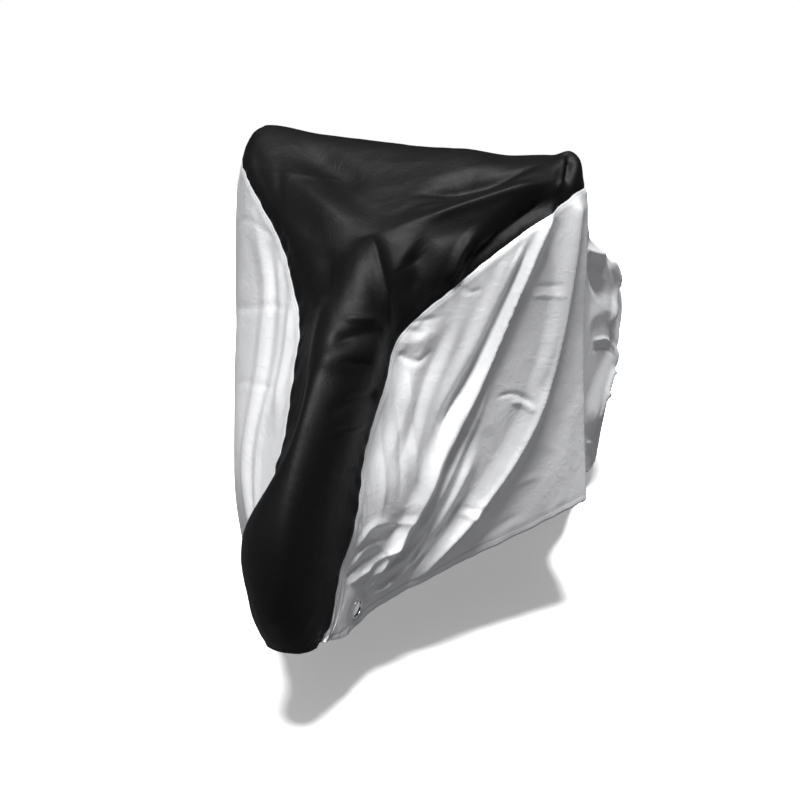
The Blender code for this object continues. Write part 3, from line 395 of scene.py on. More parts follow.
def curve_through(knots, values, at):
    """Reads a smooth curve through values at knots, at each place in at."""
    knots = np.asarray(knots, float)
    values = np.asarray(values, float)
    at = np.asarray(at, float)
    trail = (-1,) + (1,) * (values.ndim - 1)
    steps = np.diff(knots).reshape(trail)
    secants = np.diff(values, axis=0) / steps
    slopes = np.empty_like(values)
    slopes[1:-1] = (secants[:-1] * steps[1:] + secants[1:] * steps[:-1]) / (steps[:-1] + steps[1:])
    slopes[0] = 1.5 * secants[0] - 0.5 * slopes[1]
    slopes[-1] = 1.5 * secants[-1] - 0.5 * slopes[-2]
    span = np.clip(np.searchsorted(knots, at, side="right") - 1, 0, len(knots) - 2)
    step = steps[span]
    t = ((at - knots[span]) / np.diff(knots)[span]).reshape(trail)
    return (
        (1 + 2 * t) * (1 - t) ** 2 * values[span]
        + t * (1 - t) ** 2 * step * slopes[span]
        + t * t * (3 - 2 * t) * values[span + 1]
        + t * t * (t - 1) * step * slopes[span + 1]
    )


def smooth(t):
    """Goes from 0 to 1 without a corner."""
    t = np.clip(t, 0, 1)
    return t * t * (3 - 2 * t)


def part_way(top, seam, reaches, square, kept):
    """A place between crest and seam line, by the reaches of a round rib and a square one."""
    out, down = np.array(reaches[0]) * (1 - square) + np.array(reaches[1]) * square
    return top + (seam - top) * (out * kept, down, down)


def half_rib(crest, side, sign, kept):
    """Arm, shoulder, seam, belly and hem of one rib on one side, for the upright bicycle."""
    top = np.array((0, crest.y, crest.z))
    seam = np.array((side.seam_w * sign, side.seam_y, side.seam_z))
    hem = np.array((side.hem_w * sign, side.hem_y, side.hem_z))
    arm = part_way(top, seam, ARM, crest.square, kept) + (0, 0, crest.lift / 2)
    shoulder = part_way(top, seam, SHOULDER, crest.square, kept) + (0, 0, crest.lift)
    belly = (seam + hem) / 2 + (side.bulge * sign, 0, 0)
    return arm, shoulder, seam, belly, hem


def turned(points):
    """Turns the front with the bar and the rear with the frame, about the steering axis."""
    blend = TURNED_WITH_FRAME_FROM_Y - TURNED_WITH_BAR_TO_Y
    share = smooth((TURNED_WITH_FRAME_FROM_Y - points[..., 1]) / blend)
    angle = FRAME_TURN + (BAR_TURN - FRAME_TURN) * share
    along = points[..., 1] - TURN_AXIS_Y
    x = points[..., 0] * np.cos(angle) - along * np.sin(angle)
    y = points[..., 0] * np.sin(angle) + along * np.cos(angle) + TURN_AXIS_Y
    return np.stack([x, y, points[..., 2]], axis=-1)


def leaned(points, crest_z, plumb):
    """Leans the bicycle over. Where plumb is 1 the cloth goes as far over as its crest does."""
    lever = points[..., 2] * (1 - plumb) + crest_z * plumb
    x = points[..., 0] * math.cos(LEAN) + lever * math.sin(LEAN)
    z = points[..., 2] * math.cos(LEAN) - points[..., 0] * math.sin(LEAN)
    return np.stack([x, points[..., 1], z], axis=-1)


def control_net():
    """Points the cloth passes through: a row for each rib, a column for each place in NET_ACROSS."""
    net = []
    for rib, (crest, left, right) in enumerate(zip(CREST, SIDES["left"], SIDES["right"])):
        left_half = half_rib(crest, left, 1, SHOULDER_KEPT["left"].get(rib, 1))
        right_half = half_rib(crest, right, -1, SHOULDER_KEPT["right"].get(rib, 1))
        net.append([*right_half[::-1], (0, crest.y, crest.z), *left_half])
    crest_z = np.array([crest.z for crest in CREST])[:, None]
    hang = np.array([crest.hang for crest in CREST])[:, None]
    plumb = np.clip(np.abs(NET_ACROSS) - 1, 0, 1)[None, :] * hang
    return leaned(turned(np.array(net)), crest_z, plumb) - MIDDLE_OF_BAR


NET = control_net()
HEMS_AND_CREST = [0, NET_ACROSS.index(0), len(NET_ACROSS) - 1]
RIB_SPACING = np.linalg.norm(np.diff(NET[:, HEMS_AND_CREST], axis=0), axis=2).mean(axis=1)
RIB_KNOTS = np.concatenate([[0], np.cumsum(RIB_SPACING)])
LAST_RIB = len(CREST) - 1


def rows_at(station):
    """Ribs between the ribs, at each place in station."""
    return curve_through(RIB_KNOTS, NET, np.interp(station, range(len(CREST)), RIB_KNOTS))


def shares_at(across):
    """How much each column of the net counts, at each place in across."""
    return curve_through(NET_ACROSS, np.eye(len(NET_ACROSS)), across)


def base_points(station, across):
    """Points of the cloth before its folds. station counts ribs, across is as in NET_ACROSS."""
    return np.einsum("ij,ijk->ik", shares_at(across), rows_at(station))


def cross_normals(out, along):
    """Outward normals, from the directions across and along the cloth."""
    normals = np.cross(out, along)
    return normals / np.linalg.norm(normals, axis=-1)[..., None]


def fold_line(fold):
    """Points along the middle of a fold."""
    ends = np.array((fold.start, fold.middle, fold.end))
    return base_points(*curve_through((0, 0.5, 1), ends, np.linspace(0, 1, FOLD_STEPS + 1)).T)


def fold_heights(points, folds):
    """How far the folds lift the cloth at each point."""
    heights = np.zeros(len(points))
    for fold in folds:
        line = fold_line(fold)
        low, high = line.min(axis=0) - fold.width, line.max(axis=0) + fold.width
        close = np.flatnonzero(np.all((points > low) & (points < high), axis=1))
        if not len(close):
            continue
        run = np.diff(line, axis=0)
        offset = points[close, None] - line[None, :-1]
        share = np.clip(np.einsum("ijk,jk->ij", offset, run) / np.einsum("jk,jk->j", run, run), 0, 1)
        gaps = np.linalg.norm(offset - share[..., None] * run, axis=2)
        nearest = gaps.argmin(axis=1)
        rows = np.arange(len(close))
        reach = (nearest + share[rows, nearest]) / FOLD_STEPS
        near = 1 - np.clip(gaps[rows, nearest] / fold.width, 0, 1)
        shape = smooth(near) * (1 - fold.crisp) + near * near * fold.crisp
        ends = smooth(reach / max(fold.rise, TINY)) * smooth((1 - reach) / max(fold.fall, TINY))
        heights[close] += fold.height * shape * ends
    return heights


def eyelet_seat(side):
    """Centre and outward normal of the flat spot under an eyelet."""
    station, across = (np.array([value]) for value in EYELET_PLACE[side])
    out = base_points(station, across + PROBE_ACROSS) - base_points(station, across - PROBE_ACROSS)
    along = base_points(station + PROBE_ALONG, across) - base_points(station - PROBE_ALONG, across)
    normal = cross_normals(out, along)
    point = base_points(station, across)
    return (point + normal * fold_heights(point, FOLDS)[:, None])[0], normal[0]


SEATS = {side: eyelet_seat(side) for side in EYELET_PLACE}

# Lines of the fine net. Past each end it is turned in under the cloth as a hem.
ALONG = np.concatenate([
    [-row.reach * FRONT_HEM_PER_METRE for row in HEM_ROWS[::-1]],
    np.linspace(0, BAR_RIB, FRONT_CELLS + 1),
    np.linspace(BAR_RIB, LAST_RIB, REAR_CELLS + 1)[1:],
    [LAST_RIB + row.reach * REAR_HEM_PER_METRE for row in HEM_ROWS],
])
ACROSS = np.concatenate([
    [-2 - row.reach * SIDE_HEM_PER_METRE for row in HEM_ROWS[::-1]],
    np.linspace(-2, -1, SIDE_CELLS["right"] + 1),
    np.linspace(-1, 1, CENTRE_CELLS + 1)[1:],
    np.linspace(1, 2, SIDE_CELLS["left"] + 1)[1:],
    [2 + row.reach * SIDE_HEM_PER_METRE for row in HEM_ROWS],
])
FRONT_EDGE = LEFTMOST = len(HEM_ROWS)
BAR_LINE = FRONT_EDGE + FRONT_CELLS
REAR_EDGE = BAR_LINE + REAR_CELLS
SEAM_LINE = {"right": LEFTMOST + SIDE_CELLS["right"]}
SEAM_LINE["left"] = SEAM_LINE["right"] + CENTRE_CELLS
CREST_LINE = SEAM_LINE["right"] + CENTRE_CELLS // 2
HEM_LINE = {"right": LEFTMOST, "left": SEAM_LINE["left"] + SIDE_CELLS["left"]}
CENTRE_END = BAR_LINE + CENTRE_ENDS_AFTER_BAR
SEAM_STITCHES = slice(FRONT_EDGE + 2, CENTRE_END)
HEM_STITCHES = slice(FRONT_EDGE + 3, REAR_EDGE - 2)


def owners():
    """Name of the node that each cell of the fine net belongs to."""
    cells = np.full((len(ALONG) - 1, len(ACROSS) - 1), "side_panel_left", dtype=object)
    cells[:, :CREST_LINE] = "side_panel_right"
    cells[:CENTRE_END, SEAM_LINE["right"] : SEAM_LINE["left"]] = "centre_panel"
    first, last = (FRONT_EDGE + cell for cell in PATCH_CELLS_ALONG)
    cells[first:last, HEM_LINE["left"] - PATCH_CELLS_UP["left"] :] = "eyelet_patch_left"
    cells[first:last, : HEM_LINE["right"] + PATCH_CELLS_UP["right"]] = "eyelet_patch_right"
    return cells


OWNERS = owners()


def turned_in(places, low, high):
    """Places past either end come back under the cloth."""
    return high - np.abs(high - (low + np.abs(places - low)))


def hem_depth(count, first, last):
    """How far below the outer face each line of the net lies."""
    depth = np.zeros(count)
    for row, turn in enumerate(HEM_ROWS):
        depth[first - 1 - row] = depth[last + 1 + row] = turn.depth
    return depth


def noise_at(points, size, seed):
    """Smooth unevenness from -1 to 1 with lumps of the given size."""
    places = (points.reshape(-1, 3) / size + seed * SEED_STEP).tolist()
    return np.array([noise.noise(place) for place in places]).reshape(points.shape[:-1])


def creased(values):
    """Turns smooth unevenness into flats that meet in creases."""
    return 1 - 2 * np.abs(values) ** CREASE_POWER


def cumulative(points, axis, start):
    """Distance along the lines of the net, from its start line."""
    steps = np.linalg.norm(np.diff(points, axis=axis), axis=2)
    total = np.insert(np.cumsum(steps, axis=axis), 0, 0, axis=axis)
    return total - np.take(total, [start], axis=axis)


def gaps_to_edges(run, drop):
    """Distance of each point of the net from the nearest seam and from the nearest hem."""
    lines, columns = np.ogrid[: len(ALONG), : len(ACROSS)]
    left, right = (np.abs(drop - drop[:, [SEAM_LINE[side]]]) for side in ("left", "right"))
    seam = np.where(lines <= CENTRE_END, np.minimum(left, right), np.abs(drop))
    on_top = (columns >= SEAM_LINE["right"]) & (columns <= SEAM_LINE["left"])
    seam = np.where(on_top, np.minimum(seam, np.abs(run - run[CENTRE_END])), seam)
    sides = [np.abs(drop - drop[:, [line]]) for line in HEM_LINE.values()]
    ends = [np.abs(run - run[line]) for line in (FRONT_EDGE, REAR_EDGE)]
    return {"seam": seam, "hem": np.minimum.reduce(sides + ends)}


def puckers(points, run, drop, gap, gather):
    """Ripples along a seam or a hem, stronger in some places, that die away into the cloth."""
    shift = gather.side_shift * np.sign(drop)
    places = np.stack([run / gather.pitch, gap / PUCKER_LENGTH, shift], axis=-1)
    ripple = noise_at(places, 1.0, gather.seed) * PUCKER_GAIN
    patches = noise_at(points, PUCKER_PATCH, gather.seed + PATCH_SEED_SHIFT)
    strength = np.interp(patches, PUCKER_PATCH_RANGE, PUCKER_STRENGTH)
    return gather.height * ripple * strength * (1 - smooth(gap / gather.reach))


def lumps(points, lump):
    """Unevenness of one size between the folds, from rounded to creased."""
    swirl = SWIRL * noise_at(points, SWIRL_PATCH, SWIRL_SEED)[..., None]
    values = noise_at(points * (1, 1, lump.stretch) + swirl, lump.size, lump.seed)
    return lump.height * (values * (1 - lump.crisp) + (creased(values) - 0.5) * lump.crisp)


def flattened_under_eyelets(points):
    """Draws the cloth to a flat spot under each eyelet."""
    for centre, normal in SEATS.values():
        offset = points - centre
        away = np.linalg.norm(offset, axis=2)
        flat = 1 - smooth((away - FLAT_RADIUS) / (FLAT_BLEND_RADIUS - FLAT_RADIUS))
        points = points - normal * (offset @ normal * flat)[..., None]
    return points


Cloth = namedtuple("Cloth", "points normals run drop hem_gap")


@lru_cache(maxsize=1)
def lay_cloth(gathers, unevenness, seam_depth):
    """Works out the whole lie of the cloth on the fine net, once for all its pieces."""
    station = turned_in(ALONG, 0, LAST_RIB)
    across = turned_in(ACROSS, -2, 2)
    rows, shares = rows_at(station), shares_at(across)
    points = np.einsum("jk,ikl->ijl", shares, rows)
    ahead = rows_at(np.clip(station + PROBE_ALONG, 0, LAST_RIB))
    ahead = ahead - rows_at(np.clip(station - PROBE_ALONG, 0, LAST_RIB))
    outward = shares_at(np.clip(across + PROBE_ACROSS, -2, 2))
    outward = outward - shares_at(np.clip(across - PROBE_ACROSS, -2, 2))
    out = np.einsum("jk,ikl->ijl", outward, rows)
    along = np.einsum("jk,ikl->ijl", shares, ahead)
    normals = cross_normals(out, along)
    run, drop = cumulative(points, 0, BAR_LINE), cumulative(points, 1, CREST_LINE)
    gaps = gaps_to_edges(run, drop)

    height = fold_heights(points.reshape(-1, 3), FOLDS + CREASES).reshape(drop.shape)
    for edge, gather in GATHERS.items():
        height += gathers * puckers(points, run, drop, gaps[edge], gather)
    slack = np.interp(noise_at(points, SLACK_PATCH, SLACK_SEED), SLACK_RANGE, SLACK_STRENGTH)
    for lump in UNEVENNESS:
        height += unevenness * lumps(points, lump) * slack
    for groove in GROOVES:
        away = (gaps[groove.beside] - groove.at) / groove.width
        height -= groove.depth * seam_depth * np.exp(-(away**2))

    points = flattened_under_eyelets(points + normals * height[..., None])
    end_depth = hem_depth(len(ALONG), FRONT_EDGE, REAR_EDGE)[:, None]
    side_depth = hem_depth(len(ACROSS), LEFTMOST, HEM_LINE["left"])[None, :]
    points = points - normals * np.maximum(end_depth, side_depth)[..., None]
    return Cloth(points, normals, run, drop, gaps["hem"])


def the_cloth(settings):
    """The lie of the cloth for the chosen settings."""
    return lay_cloth(settings.gathers, settings.unevenness, settings.seam_depth)


def link_piece(name, bm, look):
    """Turns a bmesh into an object at the origin, with its material."""
    for face in bm.faces:
        face.smooth = True
    mesh = bpy.data.meshes.new(name)
    bm.to_mesh(mesh)
    bm.free()
    mesh.materials.append(look)
    piece = bpy.data.objects.new(name, mesh)
    bpy.context.scene.collection.objects.link(piece)
    return piece


def cloth_piece(name, node, look, cloth):
    """One sewn piece: the cells of the fine net that belong to a node."""
    own = np.argwhere(OWNERS == node)
    (low_i, low_j), (high_i, high_j) = own.min(axis=0), own.max(axis=0) + 1
    columns, rows = high_i - low_i, high_j - low_j
    bm = bmesh.new()
    bmesh.ops.create_grid(bm, x_segments=columns, y_segments=rows, size=0.5)
    flat = np.array([vert.co for vert in bm.verts])
    corners = np.rint((flat[:, :2] + 0.5) * (columns, rows)).astype(int) + (low_i, low_j)
    order = bm.verts.layers.int.new("order")
    for vert, place in zip(bm.verts, cloth.points[tuple(corners.T)].tolist()):
        vert.co = place
        vert[order] = vert.index
    quads = np.array([[vert.index for vert in face.verts] for face in bm.faces])
    cells = corners[quads].min(axis=1)
    others = np.flatnonzero(OWNERS[tuple(cells.T)] != node)
    bm.faces.ensure_lookup_table()
    bmesh.ops.delete(bm, geom=[bm.faces[index] for index in others], context="FACES")
    if node.startswith("eyelet_patch"):
        open_hole(bm, node.rsplit("_", 1)[1])
    return finish_cloth(name, bm, look, cloth, corners)


def open_hole(bm, side):
    """Cuts the round hole under an eyelet and draws its edge to a true circle."""
    centre, normal = (Vector(value) for value in SEATS[side])
    away = {vert: (vert.co - centre).length for vert in bm.verts}
    inside = [face for face in bm.faces if min(away[vert] for vert in face.verts) < HOLE_RADIUS]
    bmesh.ops.delete(bm, geom=inside, context="FACES")
    for vert in bm.verts:
        if vert.is_boundary and (vert.co - centre).length < FLAT_RADIUS:
            offset = vert.co - centre
            offset -= normal * offset.dot(normal)
            vert.co = centre + offset.normalized() * HOLE_RADIUS


def finish_cloth(name, bm, look, cloth, corners):
    """Makes the object, with cut-cloth coordinates and the distance to a hem for the material."""
    order = bm.verts.layers.int["order"]
    kept = tuple(corners[[vert[order] for vert in bm.verts]].T)
    bm.verts.layers.int.remove(order)
    # The net runs from front to rear and from right to left, so its faces start out pointing inwards
    bmesh.ops.reverse_faces(bm, faces=bm.faces)
    piece = link_piece(name, bm, look)
    mesh = piece.data
    places = np.stack([cloth.run[kept], cloth.drop[kept]], axis=1)
    loops = np.empty(len(mesh.loops), dtype=np.int32)
    mesh.loops.foreach_get("vertex_index", loops)
    mesh.uv_layers.new(name="cut_cloth").uv.foreach_set("vector", places[loops].ravel().astype(np.float32))
    hem_gap = mesh.attributes.new("hem_gap", "FLOAT", "POINT")
    hem_gap.data.foreach_set("value", cloth.hem_gap[kept].astype(np.float32))
    return piece


def declare_cloth(piece, node):
    """Attaches a piece of cloth to the root and hides the solid that it stands for."""
    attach(piece, "root")
    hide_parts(node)


def linear(hex_colour):
    """sRGB hex to linear red, green, blue and alpha."""
    channels = [int(hex_colour.lstrip("#")[at : at + 2], 16) / 255 for at in (0, 2, 4)]
    return [c / 12.92 if c <= 0.04045 else ((c + 0.055) / 1.055) ** 2.4 for c in channels] + [1]


def feed(tree, node, inputs):
    """Links each input that comes from another node, and sets the others."""
    for socket, value in inputs.items():
        if isinstance(value, bpy.types.NodeSocket):
            tree.links.new(value, node.inputs[socket])
        else:
            node.inputs[socket].default_value = value


def add_node(tree, kind, inputs, output=0, **settings):
    """Adds a node with its settings and inputs, and gives the output asked for."""
    node = tree.nodes.new(kind)
    for name, value in settings.items():
        setattr(node, name, value)
    feed(tree, node, inputs)
    return node.outputs[output]


def start_material(name):
    """Starts a material, and hands back its nodes and its shader too."""
    look = bpy.data.materials.new(name)
    look.use_nodes = True
    return look, look.node_tree, look.node_tree.nodes["Principled BSDF"]


def weave_and_crinkle(tree, thread, coat):
    """Bump of woven, coated cloth: threads on the cut cloth, and fine crinkles over them."""
    cut = add_node(tree, "ShaderNodeUVMap", {}, uv_map="cut_cloth")
    waves = {"Vector": cut, "Scale": WAVE_PERIOD / thread}
    warp = add_node(tree, "ShaderNodeTexWave", waves, "Fac", bands_direction="X")
    weft = add_node(tree, "ShaderNodeTexWave", waves, "Fac", bands_direction="Y")
    threads = add_node(tree, "ShaderNodeMath", {0: warp, 1: weft}, operation="MULTIPLY")
    place = add_node(tree, "ShaderNodeTexCoord", {}, "Object")
    crumples = {"Vector": place, "Scale": 1 / coat.crinkle, "Detail": 4, "Roughness": 0.55, "Distortion": 0.6}
    crinkle = add_node(tree, "ShaderNodeTexNoise", crumples, "Fac")
    cells = {"Vector": crinkle.node.outputs["Color"], "Scale": CELLS_IN_CRINKLE}
    folds = add_node(tree, "ShaderNodeTexVoronoi", cells, "Distance", feature="DISTANCE_TO_EDGE")
    creases = add_node(tree, "ShaderNodeMath", {0: crinkle, 1: folds}, operation="ADD")
    fine = {"Height": threads, "Distance": WEAVE_HEIGHT, "Strength": 1.0}
    coarse = {"Height": creases, "Distance": coat.crinkle_height, "Strength": 1.0}
    normal = add_node(tree, "ShaderNodeBump", fine, "Normal")
    return add_node(tree, "ShaderNodeBump", coarse | {"Normal": normal}, "Normal"), place, crinkle


def coated_cloth(name, coat, tones, thread):
    """Woven cloth under a coat: two tones in faint blotches, and a band along the hems: painted shade of the
    hem's edge where it is darker, wear where it is lighter.
    """
    look, tree, shader = start_material(name)
    bump, place, crinkle = weave_and_crinkle(tree, thread, coat)
    blotches = {"Vector": place, "Scale": coat.blotches, "Detail": 3}
    blotch = add_node(tree, "ShaderNodeTexNoise", blotches, "Fac")
    own = {"Factor": blotch, "A": linear(tones[0]), "B": linear(tones[1])}
    colour = add_node(tree, "ShaderNodeMix", own, 2, data_type="RGBA")
    # Band along the hems: painted shade of the hem's edge on the silver, wear on the black
    hem = add_node(tree, "ShaderNodeAttribute", {}, "Fac", attribute_name="hem_gap")
    reach = {"Value": hem, "From Min": 0.0, "From Max": coat.worn_reach}
    hem_band_mask = add_node(tree, "ShaderNodeMapRange", reach | {"To Min": coat.worn_share, "To Max": 0.0})
    worn = {"Factor": hem_band_mask, "A": colour, "B": linear(coat.worn)}
    mixed = add_node(tree, "ShaderNodeMix", worn, 2, data_type="RGBA")
    gloss = {"Value": crinkle, "To Min": coat.smoothest, "To Max": coat.roughest}
    rough = add_node(tree, "ShaderNodeMapRange", gloss)
    feed(tree, shader, {"Base Color": mixed, "Roughness": rough, "Normal": bump})
    return look, shader


def silver_coated_polyester(settings):
    """Plain-woven polyester with a rolled-on aluminium coat: a soft metal sheen, and a crinkle that stays."""
    tones = (settings.silver_dark, settings.silver)
    look, shader = coated_cloth("silver_coated_polyester", SILVER_COAT, tones, settings.thread)
    shader.inputs["Metallic"].default_value = 0.30
    return look


def black_coated_nylon(settings):
    """Dyed nylon with a thin polyurethane coat: near black, with a low satin gloss along its folds."""
    tones = (settings.black, SECOND_BLACK)
    look, shader = coated_cloth("black_coated_nylon", BLACK_COAT, tones, settings.thread)
    shader.inputs["Specular IOR Level"].default_value = 0.12
    return look


def bright_pressed_metal(settings):
    """Nickel-plated brass, pressed and rolled: a bright mirror softened by fine turning marks."""
    look, tree, shader = start_material("bright_pressed_metal")
    place = add_node(tree, "ShaderNodeTexCoord", {}, "Object")
    turning = {"Vector": place, "Scale": TURNING_MARKS_PER_METRE, "Detail": 2}
    marks = add_node(tree, "ShaderNodeTexNoise", turning, "Fac")
    tones = {"Factor": marks, "A": linear(settings.metal), "B": linear(SECOND_METAL)}
    tint = add_node(tree, "ShaderNodeMix", tones, 2, data_type="RGBA")
    rough = add_node(tree, "ShaderNodeMapRange", {"Value": marks, "To Min": 0.18, "To Max": 0.34})
    bump = add_node(tree, "ShaderNodeBump", {"Height": marks, "Distance": 0.00005, "Strength": 0.5}, "Normal")
    feed(tree, shader, {"Base Color": tint, "Roughness": rough, "Normal": bump, "Metallic": 1.0})
    return look


def spun_polyester_thread(settings):
    """Two-ply sewing thread: dull, with its twist showing as fine slanted ribs."""
    look, tree, shader = start_material("spun_polyester_thread")
    place = add_node(tree, "ShaderNodeTexCoord", {}, "Object")
    ribs = {"Vector": place, "Scale": WAVE_PERIOD / DRAWN_TWIST, "Distortion": 2.0}
    twist = add_node(tree, "ShaderNodeTexWave", ribs, "Fac", bands_direction="DIAGONAL")
    tones = {"Factor": twist, "A": linear(settings.thread_colour), "B": linear(SECOND_THREAD)}
    tint = add_node(tree, "ShaderNodeMix", tones, 2, data_type="RGBA")
    bump = add_node(tree, "ShaderNodeBump", {"Height": twist, "Distance": 0.0001, "Strength": 0.6}, "Normal")
    feed(tree, shader, {"Base Color": tint, "Normal": bump, "Roughness": 0.75})
    return look


def floor_with_painted_glow(settings):
    """White floor with a glow painted on it for the camera alone, which lifts the shadows on it: the faintest
    cloud in it, and a bounce that can be held down.
    """
    look, tree, shader = start_material("floor_with_painted_glow")
    place = add_node(tree, "ShaderNodeTexCoord", {}, "Object")
    clouds = {"Vector": place, "Scale": CLOUDS_PER_METRE, "Detail": 2}
    cloud = add_node(tree, "ShaderNodeTexNoise", clouds, "Fac")
    tones = {"Factor": cloud, "A": linear(settings.floor), "B": linear(SECOND_FLOOR)}
    tint = add_node(tree, "ShaderNodeMix", tones, 2, data_type="RGBA")
    seen = add_node(tree, "ShaderNodeLightPath", {}, "Is Camera Ray")
    views = {"Factor": seen, "A": linear(settings.bounce), "B": tint}
    shown = add_node(tree, "ShaderNodeMix", views, 2, data_type="RGBA")
    # Painted light: the floor glows for the camera alone, so the shadows on it show lighter
    glow = add_node(tree, "ShaderNodeMath", {0: seen, 1: settings.painted_floor_glow}, operation="MULTIPLY")
    feed(tree, shader, {"Base Color": shown, "Emission Strength": glow, "Emission Color": linear("#ffffff")})
    feed(tree, shader, {"Roughness": 0.9, "Specular IOR Level": 0.2})
    return look


MATERIALS = {
    "silver_cloth": silver_coated_polyester,
    "dark_cloth": black_coated_nylon,
    "eyelet_metal": bright_pressed_metal,
    "thread": spun_polyester_thread,
    "floor": floor_with_painted_glow,
}
MADE = {}


def material_for(name, settings):
    """Makes each material once, for all the pieces that have it."""
    if name not in MADE:
        MADE[name] = MATERIALS[name](settings)
    return MADE[name]


def eyelet_ring(side, look):
    """A two-part eyelet: a rolled ring outside, a flat washer inside, and the barrel between them."""
    centre, normal = (Vector(value) for value in SEATS[side])
    across = normal.cross(Vector((0, 0, 1))).normalized()
    bm = bmesh.new()
    places = (centre + across * point.radius + normal * point.height for point in EYELET_PROFILE)
    verts = [bm.verts.new(place) for place in places]
    edges = [bm.edges.new((one, other)) for one, other in zip(verts, verts[1:] + verts[:1])]
    turn = {"angle": 2 * math.pi, "steps": EYELET_STEPS, "use_merge": True}
    bmesh.ops.spin(bm, geom=edges, cent=centre, axis=normal, **turn)
    bmesh.ops.remove_doubles(bm, verts=bm.verts, dist=TINY)
    bmesh.ops.recalc_face_normals(bm, faces=bm.faces)
    return link_piece(f"eyelet_ring_{side}", bm, look)


def read_along(reach, values, at):
    """Reads places or directions along a line, at the given distances from its start."""
    return np.stack([np.interp(at, reach, column) for column in values.T], axis=1)


def stitch_row(bm, line, normals, stitch):
    """Sets a row of stitches along a line of points, each a small flattened bead of thread."""
    steps = np.linalg.norm(np.diff(line, axis=0), axis=1)
    reach = np.concatenate([[0], np.cumsum(steps)])
    at = np.arange(stitch / 2, reach[-1], stitch)
    spots, ups = read_along(reach, line, at), read_along(reach, normals, at)
    ends = read_along(reach, line, np.clip(at + STITCH_PROBE, 0, reach[-1]))
    size = Matrix.Diagonal((*(stitch * share for share in BEAD_HALF_SIZE), 1))
    for spot, up, end in zip(spots, ups, ends):
        up = Vector(up).normalized()
        ahead = (Vector(end) - Vector(spot)).normalized()
        side = up.cross(ahead).normalized()
        turn = Matrix((ahead, side, ahead.cross(side))).transposed().to_4x4()
        place = Matrix.Translation(Vector(spot) + up * stitch * BEAD_RISE)
        bmesh.ops.create_icosphere(bm, subdivisions=1, radius=1, matrix=place @ turn @ size)


def line_beside(cloth, lines, column, offset):
    """Points and normals beside one line down the net, offset across the cloth in metres."""
    points = [
        [np.interp(row[column] + offset, row, values) for values in places.T]
        for row, places in zip(cloth.drop[lines], cloth.points[lines])
    ]
    return np.array(points), cloth.normals[lines, column]


def studio_floor(settings):
    """The floor the bicycle stands on."""
    bm = bmesh.new()
    bmesh.ops.create_grid(bm, x_segments=FLOOR_CELLS, y_segments=FLOOR_CELLS, size=settings.floor_size)
    bmesh.ops.translate(bm, verts=bm.verts, vec=(0, 0, -MIDDLE_OF_BAR[2]))
    floor = link_piece("studio_floor", bm, material_for("floor", settings))


def studio_suns(scene, settings):
    """Two suns: a key light from high in front, and a faint one from the right."""
    for sun in SUNS:
        lamp = bpy.data.lights.new(sun.name, "SUN")
        lamp.energy = sun.strength * settings.key
        lamp.angle = math.radians(sun.spread)
        light = bpy.data.objects.new(sun.name, lamp)
        light.rotation_euler = Vector(sun.towards).to_track_quat("-Z", "Y").to_euler()
        scene.collection.objects.link(light)


def studio_room(scene, settings):
    """A dim room with one soft box for the cloth to reflect, and plain white for the camera to see."""
    world = bpy.data.worlds.new("studio_room")
    world.use_nodes = True
    tree = world.node_tree
    seen = add_node(tree, "ShaderNodeLightPath", {}, "Is Camera Ray")
    backdrop = add_node(tree, "ShaderNodeBackground", {"Color": linear("#ffffff"), "Strength": 1.0})
    place = add_node(tree, "ShaderNodeTexCoord", {}, "Generated")
    aim = {0: place, 1: Vector(SOFT_BOX_FROM).normalized()}
    box = add_node(tree, "ShaderNodeVectorMath", aim, "Value", operation="DOT_PRODUCT")
    edge = {"Value": box, "From Min": SOFT_BOX_EDGE[0], "From Max": SOFT_BOX_EDGE[1]}
    light = edge | {"To Min": settings.fill, "To Max": settings.soft_box}
    glow = add_node(tree, "ShaderNodeMapRange", light, interpolation_type="SMOOTHSTEP")
    room = tree.nodes["Background"]
    feed(tree, room, {"Color": linear(ROOM_COLOUR), "Strength": glow})
    mix = add_node(tree, "ShaderNodeMixShader", {0: seen, 1: room.outputs[0], 2: backdrop})
    feed(tree, tree.nodes["World Output"], {"Surface": mix})
    scene.world = world
    scene.view_settings.view_transform = "Standard"


def studio_camera(scene, settings):
    """The camera, in front of the bicycle and to its left, at the height of the bar."""
    lens = bpy.data.cameras.new("studio_camera")
    lens.lens = settings.focal
    lens.sensor_width = SENSOR_WIDTH
    camera = bpy.data.objects.new("studio_camera", lens)
    camera.location = CAMERA_PLACE
    camera.rotation_euler = Vector(CAMERA_TOWARDS).to_track_quat("-Z", "Y").to_euler()
    scene.collection.objects.link(camera)
    scene.camera = camera


